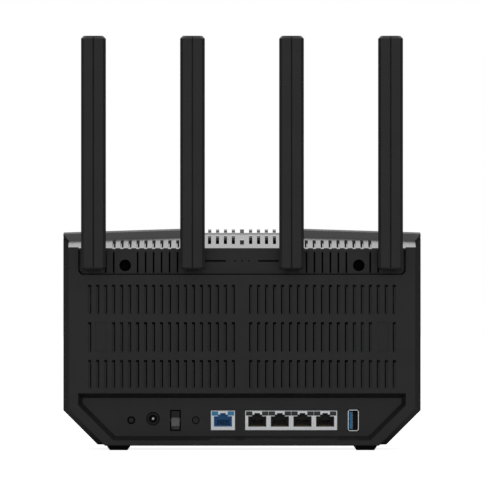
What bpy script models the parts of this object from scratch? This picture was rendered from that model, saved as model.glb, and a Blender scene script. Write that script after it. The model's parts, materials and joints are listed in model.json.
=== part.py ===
"""Upright wireless router with four folding antennas, as an assembly of separate pieces.

Metres, +Z up. The rear with the sockets faces -Y and the front with the indicators faces +Y. The origin is on
the surface that the router stands on, in the middle of its overall width and depth.
"""
import math

import bmesh
import bpy
from mathutils import Matrix, Vector

# ---------------------------------------------------------------- driving dimensions
GAP = 0.0003  # between pieces that touch
CUT = 0.002  # how far a cutter runs past the surface that it opens

# casing
CASE_WIDTH = 0.2338
CASE_DEPTH = 0.084  # rear wall to the foot of the front
FOOT_HEIGHT = 0.003
SIDE_TOP = 0.1407
LOWER_CORNER = 0.0224  # legs of the cut lower corners
WALL = 0.0022
EDGE_BEVEL = 0.0006  # around the rear wall
REAR_INSET = 0.0038  # the rear cover is this much smaller than the front cover at the sides
FRONT_LEAN = 0.007  # how far the top of the front lies behind its foot
FRONT_BEVEL = 0.009

# vent columns, shared by the rear wall, the panel, the ledge and the comb
COLUMN_PITCH = 0.005185
FIRST_COLUMN = 0.00565
SLOT_WIDTH = 0.0021
SLIT_WIDTH = 0.0007  # the part of a rear wall slot that goes right through
SLOT_STEP = 0.0010  # depth of the slot's step
SLOT_RIM = 0.00005  # of the step, beside the parts that go right through
SLOT_HEAD = 0.0014  # what goes right through at its top, over its full width
VENT_MARGIN = 0.0160  # from the side of the case to the outermost slot's centre, at least
VENT_ROWS = ((0.0408, 0.0588), (0.0642, 0.0834), (0.0888, 0.1077))
POCKET_DEPTH = 0.0006
POCKET_FROM = 0.0882
POCKET_TO = 0.0955

# antenna panel
PANEL_INSET = 0.0105  # from the side of the case to the end of the panel's opening
PANEL_BOTTOM = 0.1142
PANEL_TOP = 0.1310
PANEL_RECESS = 0.0040
PANEL_THICKNESS = 0.0022
PANEL_LAP = 0.0021  # how far the panel's rim runs behind the rear wall
PANEL_CORNER = 0.0020
PANEL_SLOT = (0.1155, 0.1290)
PANEL_SLOT_WIDTH = 0.0011
ENGRAVED_LINE = (0.0105, 0.0240)
ENGRAVED_WIDTH = 0.0012
ENGRAVED_DEPTH = 0.0009
ENGRAVED_DOTS = (-0.0045, 0.0, 0.0045)
WELL_RADIUS = 0.00385
WELL_WALL = 0.0013
WELL_DEPTH = 0.0120
WELL_FLOOR = 0.0020
WELL_FROM_ANTENNA = 0.0204  # well to the outer antenna beside it
WELL_HEIGHT = 0.1203

# roof
ROOF_THICKNESS = 0.0020
ROOF_FROM = 0.0025  # depths are measured forward from the rear wall
LEDGE_START = 0.1306  # height of the ledge at ROOF_FROM
LEDGE_SLOPE = math.radians(13)
WALL_TOP_AT_ENDS = 0.1321
FACET_FOOT_AT_END = 0.1367
FACET_FOOT_AT_GRILLE = 0.13925
FACET_RISE = 0.0040  # the facet's run is REAR_INSET, so its ends are mitred
ROOF_CROWN = 0.0011
GRILLE_HALF = 0.0360
GRILLE_STEP = 0.0006
GRILLE_FOOT = 0.1402
GRILLE_RAIL = 0.0013
BAR_COUNT = 6  # on each side of the middle bar
BAR_TOP = 0.1438
BAR_SLOPE = math.radians(10)  # of the bars' first stretch, up to a small step
BAR_STEP = 0.0006
MIDDLE_BAR_WIDTH = 0.0026
LEDGE_SLOT_FIRST = 7
LEDGE_SLOT_COUNT = 9
LEDGE_SLOT_RUN = (0.0133, 0.0285)
LEDGE_STEP = 0.0012
LEDGE_HEAD = 0.0016
LEDGE_SLIT_WIDTH = 0.0010
MIDDLE_SLOT_RUN = (0.0142, 0.0270)
GRILLE_SLOT_RUN = (0.0180, 0.0370)

# antennas
ANTENNA_WIDTH = 0.0160
ANTENNA_BOTTOM = 0.1180
ANTENNA_TOP = 0.2693
ANTENNA_REAR = 0.0084  # hinge axis to the rear face
ANTENNA_FRONT = 0.0040  # hinge axis to the front face
ANTENNA_SPLIT = 0.0025  # hinge axis to the joint of the two shells
ANTENNA_WALL = 0.0014
ANTENNA_SOLID = 0.0100  # height of the solid foot above the hinge axis
ANTENNA_FROM_PANEL_END = 0.0100
GROOVE_WIDTH = 0.0008
GROOVE_DEPTH = 0.0006
SIDE_FACET = 0.0018
HINGE_HEIGHT = 0.1232
HINGE_STANDOFF = 0.0091  # hinge axis to the antenna panel
KNUCKLE_RADIUS = 0.0066
KNUCKLE_WIDTH = 0.0080
KNUCKLE_NECK = 0.0100
BASE_RADIUS = 0.0074
BASE_THICKNESS = 0.0015
HUB_RADIUS = 0.0040
HUB_LENGTH = 0.0060
PIN_RADIUS = 0.0015
ELEMENT_THICKNESS = 0.0008
ELEMENT_HEIGHT = 0.1200

# port recess
RECESS_DEPTH = 0.0060
RECESS_INSET = 0.0104  # from the side of the case to the recess's rim
RECESS_TOP = 0.0373
RECESS_BOTTOM = 0.0065
RECESS_CORNER = 0.0229
RECESS_DRAFT = 0.0027
RECESS_TOP_DRAFT = 0.0033
RECESS_WALL = 0.0020
PORT_ROW = 0.0194  # height of the middle of the sockets

# sockets, as distances from the middle of the case
WAN_X = -0.0124
LAN_X = 0.0320
SOCKET_WIDTH = 0.0118
SOCKET_HEIGHT = 0.0068
SOCKET_SILL = 0.0022  # bottom of the shield to the bottom of the opening
SHIELD_WIDTH = 0.0156
SHIELD_HEIGHT = 0.0126
SHIELD_WALL = 0.0004
LAN_COUNT = 4
LAN_PITCH = 0.01473
LATCH_WIDTH = 0.0036
LATCH_STEP_WIDTH = 0.0064
LATCH_STEP = 0.0011
LATCH_HEIGHT = 0.0010
LAMP_WIDTH = 0.0038
LAMP_HEIGHT = 0.0019
SOCKET_DEPTH = 0.0110
USB_X = 0.07245
USB_WIDTH = 0.0071
USB_HEIGHT = 0.0139
USB_WALL = 0.0005
USB_DEPTH = 0.0140
USB_TONGUE = (0.0020, 0.0112)
INLET_X = -0.0579
INLET_Z = 0.0205
INLET_RADIUS = 0.0038
INLET_BORE = 0.0028
INLET_DEPTH = 0.0100
INLET_PIN = 0.0008
BUTTON_XS = (("reset", -0.0721), ("pairing", -0.0301))
BUTTON_Z = 0.0195
BUTTON_STEM = 0.0016
BUTTON_HOLES = {"reset": 0.0026, "pairing": 0.0025}
BUTTON_CAPS = {"reset": 0.0016, "pairing": 0.0019}
BUTTON_FLANGE = 0.0036
BUTTON_TRAVEL = 0.0008
ROCKER_X = -0.0433
ROCKER_WIDTH = 0.0052
ROCKER_OPENING = (0.0070, 0.0138)
ROCKER_AXIS_DEPTH = 0.0039  # behind the recess's floor
ROCKER_PIN = 0.0010
ROCKER_PLAY = 0.0008  # between the rocker's tip and the opening
ROCKER_BELLY = 0.0036
# depth behind the recess's floor and height from the axis, down the face: top, valley, ridge and foot
ROCKER_FACE = ((0.0010, 0.0060), (0.0012, 0.0017), (-0.0008, -0.0036), (0.0016, -0.0060))
SWITCH_WALL = 0.0010
SWITCH_POCKET = 0.0090

# inside
BOARD_DEPTH = 0.0220  # rear wall to the board
BOARD_THICKNESS = 0.0016
BOARD_HALF = 0.1040
BOARD_TOP = 0.1080
BOARD_BOTTOM = 0.0085
BOARD_CORNER = 0.0235
BOSS_RADIUS = 0.0032
SCREW_RADIUS = 0.0013
SCREW_HEAD = 0.0027
SCREW_HEAD_HEIGHT = 0.0018
SCREW_LENGTH = 0.0090
BOARD_SCREW_X = 0.0975
BOARD_SCREW_ZS = (0.0360, 0.0980)
SINK_HALF = 0.0700
SINK_ZS = (0.0420, 0.1060)
SINK_PLATE = 0.0025
SINK_FIN = 0.0012
SINK_FIN_COUNT = 17
SINK_REACH = 0.0125  # plate's face to the fins' tips
CHIP_SIZE = 0.0240
CHIP_THICKNESS = 0.0018
CAN_SIZE = (0.0800, 0.0040, 0.0460)
CAN_HEIGHT = 0.0760
LEAD_RADIUS = 0.0007
LENS_COUNT = 7
LENS_PITCH = 0.0090
LENS_SIZE = (0.0036, 0.0018)
LENS_HEIGHT = 0.0420
FOOT_LENGTH = 0.0153
FOOT_SLANT = 0.0019
FOOT_X = 0.0803
FOOT_DEPTH = 0.0120
FOOT_FROM_EDGE = 0.0060

# ---------------------------------------------------------------- worked out from them
HALF = CASE_WIDTH / 2
PANEL_HALF = HALF - PANEL_INSET
OUTER_ANTENNA = PANEL_HALF - ANTENNA_FROM_PANEL_END
ANTENNAS = {
    "outer_left": -OUTER_ANTENNA,
    "inner_left": -OUTER_ANTENNA / 3,
    "inner_right": OUTER_ANTENNA / 3,
    "outer_right": OUTER_ANTENNA,
}
WELL_X = OUTER_ANTENNA - WELL_FROM_ANTENNA
HINGE_DEPTH = PANEL_RECESS - HINGE_STANDOFF
FRONTMOST = CASE_DEPTH - FRONT_LEAN * (FOOT_HEIGHT + FRONT_BEVEL) / SIDE_TOP
REAR_Y = -(FRONTMOST + HINGE_DEPTH - ANTENNA_REAR) / 2
COLUMNS = int((HALF - VENT_MARGIN - FIRST_COLUMN) / COLUMN_PITCH) + 1
PORT_FACE = RECESS_DEPTH
BAY_BACK = RECESS_DEPTH + RECESS_WALL
ROOF_TO = CASE_DEPTH - FRONT_BEVEL - FRONT_LEAN - WALL - 2 * GAP
FRAME_DEPTH = ROOF_FROM + (FACET_FOOT_AT_END - LEDGE_START) / math.tan(LEDGE_SLOPE)


def at(depth):
    """The y of a depth measured forward from the rear wall."""
    return REAR_Y + depth


def column(k):
    return FIRST_COLUMN + k * COLUMN_PITCH


def both_sides(values):
    return [side * value for value in values for side in (-1, 1)]


# ---------------------------------------------------------------- scene and materials
for old in list(bpy.data.objects):
    bpy.data.objects.remove(old)
for old in list(bpy.data.collections):
    bpy.data.collections.remove(old)


def new_collection(name):
    made = bpy.data.collections.new(name)
    bpy.context.scene.collection.children.link(made)
    return made


ROUTER = new_collection("wireless_router")
CUTTERS = new_collection("cutters")


def make_material(name, colour, roughness, metallic=0.0):
    made = bpy.data.materials.new(name)
    made.use_nodes = True
    shader = made.node_tree.nodes["Principled BSDF"]
    shader.inputs["Base Color"].default_value = (*colour, 1)
    shader.inputs["Roughness"].default_value = roughness
    shader.inputs["Metallic"].default_value = metallic
    return made


MATERIALS = {
    "case": make_material("case_black", (0.022, 0.022, 0.023), 0.45),
    "antenna": make_material("antenna_black", (0.025, 0.025, 0.026), 0.42),
    "rubber": make_material("foot_rubber", (0.012, 0.012, 0.012), 0.8),
    "shield": make_material("shield_metal", (0.62, 0.62, 0.61), 0.3, 1.0),
    "steel": make_material("steel", (0.45, 0.45, 0.46), 0.35, 1.0),
    "sink": make_material("heat_sink_aluminium", (0.55, 0.56, 0.57), 0.4, 1.0),
    "board": make_material("board_green", (0.01, 0.10, 0.05), 0.5),
    "blue": make_material("socket_blue", (0.01, 0.08, 0.17), 0.4),
    "socket": make_material("socket_black", (0.012, 0.012, 0.012), 0.45),
    "button": make_material("button_black", (0.03, 0.03, 0.031), 0.5),
    "rocker": make_material("rocker_black", (0.035, 0.035, 0.036), 0.4),
    "lens": make_material("lens_clear", (0.75, 0.78, 0.80), 0.25),
    "lead": make_material("lead_grey", (0.16, 0.16, 0.17), 0.5),
}


# ---------------------------------------------------------------- modelling helpers
def to_object(name, bm):
    """A mesh object from a bmesh, with its faces pointing outwards."""
    bmesh.ops.recalc_face_normals(bm, faces=bm.faces)
    if bm.calc_volume(signed=True) < 0:
        bmesh.ops.reverse_faces(bm, faces=bm.faces)
    mesh = bpy.data.meshes.new(name)
    bm.to_mesh(mesh)
    bm.free()
    made = bpy.data.objects.new(name, mesh)
    CUTTERS.objects.link(made)
    return made


def box(name, low, high):
    low = Vector(low)
    high = Vector(high)
    place = Matrix.Translation((low + high) / 2) @ Matrix.Diagonal((*(high - low), 1))
    bm = bmesh.new()
    bmesh.ops.create_cube(bm, size=1, matrix=place)
    return to_object(name, bm)


def cylinder(name, start, end, radius, end_radius=None, sides=24):
    """A cylinder, or a cone frustum, from one point to another."""
    start = Vector(start)
    end = Vector(end)
    run = end - start
    turn = run.to_track_quat("Z", "Y").to_matrix().to_4x4()
    bm = bmesh.new()
    bmesh.ops.create_cone(
        bm,
        cap_ends=True,
        segments=sides,
        radius1=radius,
        radius2=radius if end_radius is None else end_radius,
        depth=run.length,
        matrix=Matrix.Translation((start + end) / 2) @ turn,
    )
    return to_object(name, bm)


def loft(name, rings):
    """A closed solid through rings that have the same number of points."""
    bm = bmesh.new()
    rows = [[bm.verts.new(point) for point in ring] for ring in rings]
    for row, following in zip(rows, rows[1:]):
        for i, corner in enumerate(row):
            j = (i + 1) % len(row)
            bm.faces.new((corner, row[j], following[j], following[i]))
    bm.faces.new(rows[0])
    bm.faces.new(rows[-1])
    return to_object(name, bm)


def outline_solid(name, outline, thickness, place):
    """A flat outline in x and y, thickened along z about its plane, then put in place."""
    curve = bpy.data.curves.new(name, "CURVE")
    curve.dimensions = "2D"
    curve.fill_mode = "BOTH"
    curve.extrude = thickness / 2
    spline = curve.splines.new("POLY")
    spline.points.add(len(outline) - 1)
    for point, (u, v) in zip(spline.points, outline):
        point.co = (u, v, 0, 1)
    spline.use_cyclic_u = True
    holder = bpy.data.objects.new(name, curve)
    CUTTERS.objects.link(holder)
    bpy.context.view_layer.update()
    graph = bpy.context.evaluated_depsgraph_get()
    flat = bpy.data.meshes.new_from_object(holder.evaluated_get(graph))
    bpy.data.objects.remove(holder)
    bm = bmesh.new()
    bm.from_mesh(flat)
    bmesh.ops.remove_doubles(bm, verts=bm.verts, dist=1e-6)
    bm.transform(place)
    return to_object(name, bm)


FACING_REAR = Matrix(((1, 0, 0, 0), (0, 0, 1, 0), (0, 1, 0, 0), (0, 0, 0, 1)))
FACING_SIDE = Matrix(((0, 0, 1, 0), (1, 0, 0, 0), (0, 1, 0, 0), (0, 0, 0, 1)))


def plate(name, outline, start, end):
    """A solid with an outline in x and z, between two depths."""
    middle = Matrix.Translation((0, at((start + end) / 2), 0))
    return outline_solid(name, outline, end - start, middle @ FACING_REAR)


def side_profile(name, outline, x, width):
    """A solid with an outline in depth and height, centred on x."""
    placed = [(at(depth), height) for depth, height in outline]
    return outline_solid(name, placed, width, Matrix.Translation((x, 0, 0)) @ FACING_SIDE)


def inset(outline, distance):
    """A convex outline with every edge moved inwards; one distance, or one for each edge."""
    count = len(outline)
    steps = distance if isinstance(distance, (list, tuple)) else [distance] * count
    points = [Vector(point) for point in outline]
    area = sum(points[i - 1].cross(points[i]) for i in range(count))
    lines = []
    for i, point in enumerate(points):
        along = (points[(i + 1) % count] - point).normalized()
        inward = Vector((-along.y, along.x)) * math.copysign(1, area)
        lines.append((point + inward * steps[i], along))
    result = []
    for i, (point, along) in enumerate(lines):
        earlier, before = lines[i - 1]
        reach = (point - earlier).cross(along) / before.cross(along)
        result.append(tuple(earlier + before * reach))
    return result


def ring(outline, depth, lean=0.0):
    """An outline's points in x and z at a depth that falls by lean for each unit of height."""
    return [(x, at(depth - lean * z), z) for x, z in outline]


def group(name, members):
    """Several separate solids as one object, to cut or join in one step."""
    bm = bmesh.new()
    for member in members:
        bm.from_mesh(member.data)
        bpy.data.objects.remove(member)
    return to_object(name, bm)


def boolean(target, operation, tools):
    tool = tools[0] if len(tools) == 1 else group(f"{target.name}_{operation.lower()}", tools)
    step = target.modifiers.new(tool.name, "BOOLEAN")
    step.operation = operation
    step.solver = "EXACT"
    step.object = tool
    tool.hide_render = True
    tool.display_type = "WIRE"
    return target


def cut(target, *tools):
    return boolean(target, "DIFFERENCE", tools)


def join(target, *tools):
    return boolean(target, "UNION", tools)


def piece(made, name, material, origin=(0, 0, 0)):
    """Move a finished object into the router's collection, with its origin where it turns."""
    CUTTERS.objects.unlink(made)
    ROUTER.objects.link(made)
    made.name = name
    made.data.materials.clear()
    made.data.materials.append(MATERIALS[material])
    if Vector(origin).length:
        made.data.transform(Matrix.Translation(-Vector(origin)))
        made.location = origin
    return made


def finished_mesh(made):
    """The mesh that an object's modifiers give, and the object removed."""
    bpy.context.view_layer.update()
    graph = bpy.context.evaluated_depsgraph_get()
    mesh = bpy.data.meshes.new_from_object(made.evaluated_get(graph))
    bpy.data.objects.remove(made)
    return mesh


# ---------------------------------------------------------------- casing
def case_outline(top):
    """The casing seen from behind, with its lower corners cut at 45 degrees."""
    return [
        (-HALF + LOWER_CORNER, FOOT_HEIGHT),
        (HALF - LOWER_CORNER, FOOT_HEIGHT),
        (HALF, FOOT_HEIGHT + LOWER_CORNER),
        (HALF, top),
        (-HALF, top),
        (-HALF, FOOT_HEIGHT + LOWER_CORNER),
    ]


def rear_outline(top):
    """The rear cover's outline, set in from the casing's."""
    sides = REAR_INSET
    return inset(case_outline(top), [0, sides, sides, 0, sides, sides])


def recess_outline():
    half = HALF - RECESS_INSET
    return [
        (-half + RECESS_CORNER, RECESS_BOTTOM),
        (half - RECESS_CORNER, RECESS_BOTTOM),
        (half, RECESS_BOTTOM + RECESS_CORNER),
        (half, RECESS_TOP),
        (-half, RECESS_TOP),
        (-half, RECESS_BOTTOM + RECESS_CORNER),
    ]


def recess_floor():
    sides = RECESS_DRAFT
    return inset(recess_outline(), [sides, sides, sides, RECESS_TOP_DRAFT, sides, sides])


def panel_outline(margin):
    half = PANEL_HALF + margin
    low = PANEL_BOTTOM - margin
    return [
        (-half + PANEL_CORNER, low),
        (half - PANEL_CORNER, low),
        (half, low + PANEL_CORNER),
        (half, PANEL_TOP),
        (-half, PANEL_TOP),
        (-half, low + PANEL_CORNER),
    ]


def slots(name, xs, width, heights, start, end):
    low, high = heights
    return [
        box(name, (x - width / 2, at(start), low), (x + width / 2, at(end), high))
        for x in xs
    ]


def port_openings():
    """What opens the floor of the port recess, one cutter for each socket, button and switch."""
    start = PORT_FACE - CUT
    end = BAY_BACK + CUT
    made = []
    for x, width in ((WAN_X, SHIELD_WIDTH), (LAN_X, lan_shield_width())):
        made.append(opening(x, PORT_ROW, width, SHIELD_HEIGHT, start, end))
    made.append(opening(USB_X, PORT_ROW, USB_WIDTH, USB_HEIGHT, start, end))
    made.append(opening(ROCKER_X, PORT_ROW, *ROCKER_OPENING, start, end, 0))
    made.append(bore(INLET_X, INLET_Z, INLET_RADIUS + 2 * GAP, start, end))
    for name, x in BUTTON_XS:
        made.append(bore(x, BUTTON_Z, BUTTON_HOLES[name], start, end))
    return made


def opening(x, z, width, height, start, end, play=GAP):
    half = Vector((width / 2 + play, 0, height / 2 + play))
    return box("opening", (x - half.x, at(start), z - half.z), (x + half.x, at(end), z + half.z))


def bore(x, z, radius, start, end, sides=24):
    return cylinder("bore", (x, at(start), z), (x, at(end), z), radius, sides=sides)


def rear_cover():
    outline = rear_outline(SIDE_TOP)
    shell = loft(
        "rear_shell",
        [
            ring(inset(outline, EDGE_BEVEL), 0),
            ring(outline, EDGE_BEVEL),
            ring(outline, FRAME_DEPTH - GAP),
        ],
    )
    hollow = inset(rear_outline(SIDE_TOP + 2 * WALL), WALL)
    cut(shell, plate("hollow", hollow, WALL, FRAME_DEPTH + CUT))
    bay = inset(recess_outline(), -RECESS_WALL)
    bay[0] = (bay[0][0], FOOT_HEIGHT + WALL / 2)
    bay[1] = (bay[1][0], FOOT_HEIGHT + WALL / 2)
    bosses = [
        bore(x, z, BOSS_RADIUS, WALL / 2, BOARD_DEPTH - GAP, 16)
        for x in both_sides([BOARD_SCREW_X])
        for z in BOARD_SCREW_ZS
    ]
    join(shell, plate("port_bay", bay, WALL / 2, BAY_BACK), *bosses)
    under = ROOF_THICKNESS + GAP
    start = ROOF_FROM - GAP
    over_walls = [
        (start, ledge_height(start) - under),
        (FRAME_DEPTH + CUT, ledge_height(FRAME_DEPTH + CUT) - under),
        (FRAME_DEPTH + CUT, SIDE_TOP + CUT),
        (-CUT, SIDE_TOP + CUT),
        (-CUT, WALL_TOP_AT_ENDS),
        (start, WALL_TOP_AT_ENDS),
    ]
    wall_top = side_profile("wall_top", over_walls, 0, CASE_WIDTH + CUT)
    window = panel_outline(0)
    window[3] = (PANEL_HALF, WALL_TOP_AT_ENDS + CUT / 2)
    window[4] = (-PANEL_HALF, WALL_TOP_AT_ENDS + CUT / 2)
    cut(shell, wall_top)
    cut(shell, plate("panel_window", window, -CUT, WALL + CUT))
    recess = loft(
        "recess",
        [
            ring(inset(recess_outline(), -RECESS_DRAFT * CUT / RECESS_DEPTH), -CUT),
            ring(recess_floor(), RECESS_DEPTH),
        ],
    )
    cut(shell, recess)
    cut(shell, *port_openings())
    for group in rear_vents():
        cut(shell, *group)
    cut(shell, *label_pockets(), *boss_holes())
    return piece(shell, "rear_cover", "case")


def in_pocket(x):
    return POCKET_FROM < abs(x) < POCKET_TO


def rear_vents():
    """Three groups of cutters: steps on the outer side of each slot, and what goes right through
    at its top and towards the middle."""
    steps = []
    heads = []
    slits = []
    end = WALL + CUT
    for row, (low, high) in enumerate(VENT_ROWS):
        xs = both_sides(column(k) for k in range(COLUMNS))
        kept = [x for x in xs if row != 1 or not in_pocket(x)]
        head = (high - SLOT_HEAD, high - SLOT_RIM)
        slit = (low + SLOT_RIM, high - SLOT_HEAD + SLOT_RIM)
        steps += slots("vent_step", kept, SLOT_WIDTH, (low, high), -CUT, SLOT_STEP)
        heads += slots("vent_head", kept, SLOT_WIDTH - 2 * SLOT_RIM, head, -CUT, end)
        slits += slots("vent_slit", slit_places(kept, SLIT_WIDTH), SLIT_WIDTH, slit, -CUT, end)
    return steps, heads, slits


def slit_places(xs, width):
    """The middles of the slits, which lie on the side of each slot towards the middle of the case."""
    inward = (SLOT_WIDTH - width) / 2 - 2 * SLOT_RIM
    return [x - math.copysign(inward, x) for x in xs]


def label_pockets():
    low, high = VENT_ROWS[1]
    made = []
    for side in (-1, 1):
        xs = sorted((side * POCKET_FROM, side * POCKET_TO))
        made.append(box("pocket", (xs[0], at(-CUT), low), (xs[1], at(POCKET_DEPTH), high)))
    return made


def boss_holes():
    return [
        bore(x, z, SCREW_RADIUS + GAP, BOARD_DEPTH - SCREW_LENGTH, BOARD_DEPTH + CUT, 12)
        for x in both_sides([BOARD_SCREW_X])
        for z in BOARD_SCREW_ZS
    ]


def front_cover():
    outline = case_outline(SIDE_TOP)
    start = FRAME_DEPTH
    lean = FRONT_LEAN / SIDE_TOP
    shell = loft(
        "front_shell",
        [
            ring(rear_outline(SIDE_TOP), start),
            ring(outline, start + REAR_INSET),
            ring(outline, CASE_DEPTH - FRONT_BEVEL, lean),
            ring(inset(outline, FRONT_BEVEL), CASE_DEPTH, lean),
        ],
    )
    rim = inset(rear_outline(SIDE_TOP + FRONT_BEVEL), WALL / 2)
    open_top = inset(case_outline(SIDE_TOP + FRONT_BEVEL), WALL)
    closed_top = inset(outline, WALL)
    top_wall = CASE_DEPTH - FRONT_BEVEL - WALL
    hollow = loft(
        "front_hollow",
        [
            ring(rim, start - CUT),
            ring(rim, start + REAR_INSET),
            ring(open_top, start + 2 * REAR_INSET),
            ring(open_top, top_wall - GAP, lean),
            ring(closed_top, top_wall, lean),
            ring(inset(closed_top, FRONT_BEVEL), CASE_DEPTH - WALL, lean),
        ],
    )
    cut(shell, hollow)
    cheek_top = side_profile("cheek_top", under_roof_end(), 0, CASE_WIDTH + CUT)
    cut(shell, cheek_top)
    reach = PANEL_RECESS + WELL_DEPTH + GAP
    bosses = [
        bore(x, WELL_HEIGHT, BOSS_RADIUS, reach, CASE_DEPTH - FRONT_LEAN - WALL / 2, 16)
        for x in both_sides([WELL_X])
    ]
    join(shell, *bosses)
    holes = [
        bore(x, WELL_HEIGHT, SCREW_RADIUS + GAP, reach - CUT, reach + SCREW_LENGTH, 12)
        for x in both_sides([WELL_X])
    ]
    cut(shell, *holes, *lens_holes())
    return piece(shell, "front_cover", "case")


def lens_xs():
    return [(i - (LENS_COUNT - 1) / 2) * LENS_PITCH for i in range(LENS_COUNT)]


def front_depth(height):
    """Depth of the front face at a height."""
    return CASE_DEPTH - FRONT_LEAN * height / SIDE_TOP


def lens_holes():
    depth = front_depth(LENS_HEIGHT)
    return [
        opening(x, LENS_HEIGHT, *LENS_SIZE, depth - 3 * WALL, depth + CUT) for x in lens_xs()
    ]


def light_pipe():
    face = front_depth(LENS_HEIGHT)
    back = face - 2.5 * WALL
    half = lens_xs()[-1] + LENS_SIZE[0]
    bar = box(
        "bar",
        (-half, at(back - WALL), LENS_HEIGHT - LENS_SIZE[1]),
        (half, at(back), LENS_HEIGHT + LENS_SIZE[1]),
    )
    tips = [
        opening(x, LENS_HEIGHT, *LENS_SIZE, back - WALL / 2, face - GAP, 0) for x in lens_xs()
    ]
    join(bar, *tips)
    return piece(bar, "light_pipe", "lens")


def antenna_panel():
    front = WALL + GAP
    back = PANEL_RECESS + PANEL_THICKNESS
    body = plate("panel", panel_outline(PANEL_LAP), front, back)
    face = panel_outline(0)
    face[3] = (PANEL_HALF, PANEL_TOP + CUT)
    face[4] = (-PANEL_HALF, PANEL_TOP + CUT)
    wells = [
        bore(x, WELL_HEIGHT, WELL_RADIUS + WELL_WALL, back - WALL / 2, PANEL_RECESS + WELL_DEPTH)
        for x in both_sides([WELL_X])
    ]
    join(body, *wells)
    cut(body, plate("panel_face", face, -CUT, PANEL_RECESS))
    holes = []
    for x in both_sides([WELL_X]):
        floor = PANEL_RECESS + WELL_DEPTH - WELL_FLOOR
        holes.append(bore(x, WELL_HEIGHT, WELL_RADIUS, -CUT, floor))
    for x in both_sides([WELL_X]):
        floor = PANEL_RECESS + WELL_DEPTH - WELL_FLOOR
        holes.append(bore(x, WELL_HEIGHT, SCREW_RADIUS + GAP, floor - CUT, floor + 2 * CUT, 12))
    for x in ANTENNAS.values():
        holes.append(bore(x, HINGE_HEIGHT, HUB_RADIUS + GAP, -CUT, back + CUT))
    xs = both_sides(column(k) for k in range(LEDGE_SLOT_FIRST, COLUMNS))
    kept = [x for x in xs if clear_of_fixings(x)]
    holes += slots("panel_vent", kept, PANEL_SLOT_WIDTH, PANEL_SLOT, -CUT, back + CUT)
    cut(body, *holes[:2])
    cut(body, *holes[2:])
    cut(body, *engraving())
    return piece(body, "antenna_panel", "case")


def engraving():
    """Two engraved lines in the middle of the panel, with a row of dots between them."""
    start = PANEL_RECESS - CUT
    end = PANEL_RECESS + ENGRAVED_DEPTH
    low = HINGE_HEIGHT - ENGRAVED_WIDTH / 2
    high = HINGE_HEIGHT + ENGRAVED_WIDTH / 2
    made = []
    for side in (-1, 1):
        xs = sorted(side * x for x in ENGRAVED_LINE)
        made.append(box("line", (xs[0], at(start), low), (xs[1], at(end), high)))
    for x in ENGRAVED_DOTS:
        made.append(bore(x, HINGE_HEIGHT, ENGRAVED_WIDTH / 2, start, end, 12))
    return made


def clear_of_fixings(x):
    """Whether a slot at x misses the wells and the antenna bases."""
    by_well = abs(abs(x) - WELL_X) > WELL_RADIUS + WELL_WALL + PANEL_SLOT_WIDTH
    by_antenna = all(abs(x - place) > BASE_RADIUS for place in ANTENNAS.values())
    return by_well and by_antenna and abs(x) < OUTER_ANTENNA


# ---------------------------------------------------------------- roof
def ledge_height(depth):
    return LEDGE_START + (depth - ROOF_FROM) * math.tan(LEDGE_SLOPE)


def ledge_depth(height):
    return ROOF_FROM + (height - LEDGE_START) / math.tan(LEDGE_SLOPE)


def roof_section(foot, rise, crown):
    """Depth and height at five stations: ledge start and end, facet top, crown and front edge."""
    facet = ledge_depth(foot)
    return [
        (ROOF_FROM, LEDGE_START),
        (facet, foot),
        (facet + REAR_INSET, foot + rise),
        ((facet + ROOF_TO) / 2 + REAR_INSET, foot + rise + crown),
        (ROOF_TO, SIDE_TOP),
    ]


def roof_cover():
    """A height field over six stations across, thickened straight down, its corners cut off."""
    sections = [
        (HALF, roof_section(FACET_FOOT_AT_END, FACET_RISE, ROOF_CROWN)),
        (GRILLE_HALF + GRILLE_STEP, roof_section(FACET_FOOT_AT_GRILLE, FACET_RISE, ROOF_CROWN)),
        (GRILLE_HALF, roof_section(GRILLE_FOOT, GRILLE_RAIL, 0)),
    ]
    across = [(-x, line) for x, line in sections] + [(x, line) for x, line in sections[::-1]]
    rings = []
    for x, line in across:
        top = [(x, at(depth), height) for depth, height in line]
        under = [(x, y, z - ROOF_THICKNESS) for x, y, z in top[::-1]]
        rings.append(top + under)
    roof = loft("roof", rings)
    cut(roof, roof_corner(-1), roof_corner(1))
    join(roof, *comb_bars())
    rear_edge = PANEL_RECESS + PANEL_THICKNESS + GAP
    notch = box(
        "panel_notch",
        (-PANEL_HALF - PANEL_LAP - GAP, at(0), LEDGE_START - 2 * CUT),
        (PANEL_HALF + PANEL_LAP + GAP, at(rear_edge), LEDGE_START + 2 * CUT),
    )
    cut(roof, notch)
    for group in ledge_slots():
        cut(roof, *group)
    return piece(roof, "roof_cover", "case")


def roof_corner(side):
    """What is cut off a corner in plan: the ledge ends at the rear cover's side, and a chamfer
    leads from there to the casing's side and meets the facet in a mitre."""
    inner = side * (HALF - REAR_INSET)
    outer = side * (HALF + CUT)
    outline = [
        (inner, at(-CUT)),
        (inner, at(FRAME_DEPTH)),
        (outer, at(FRAME_DEPTH + REAR_INSET + CUT)),
        (outer, at(-CUT)),
    ]
    middle = Matrix.Translation((0, 0, SIDE_TOP))
    return outline_solid("roof_corner", outline, SIDE_TOP / 2, middle)


def under_roof_end():
    """The roof's underside over the side walls, from the side, with everything above it."""
    under = ROOF_THICKNESS + 3 * GAP
    back = FRAME_DEPTH + REAR_INSET
    crown = (FRAME_DEPTH + ROOF_TO) / 2 + REAR_INSET
    return [
        (FRAME_DEPTH - CUT, FACET_FOOT_AT_END - under),
        (FRAME_DEPTH, FACET_FOOT_AT_END - under),
        (back, FACET_FOOT_AT_END + FACET_RISE - under),
        (crown, FACET_FOOT_AT_END + FACET_RISE + ROOF_CROWN - under),
        (ROOF_TO + GAP, SIDE_TOP - under),
        (ROOF_TO + GAP, SIDE_TOP + CUT),
        (FRAME_DEPTH - CUT, SIDE_TOP + CUT),
    ]


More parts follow.
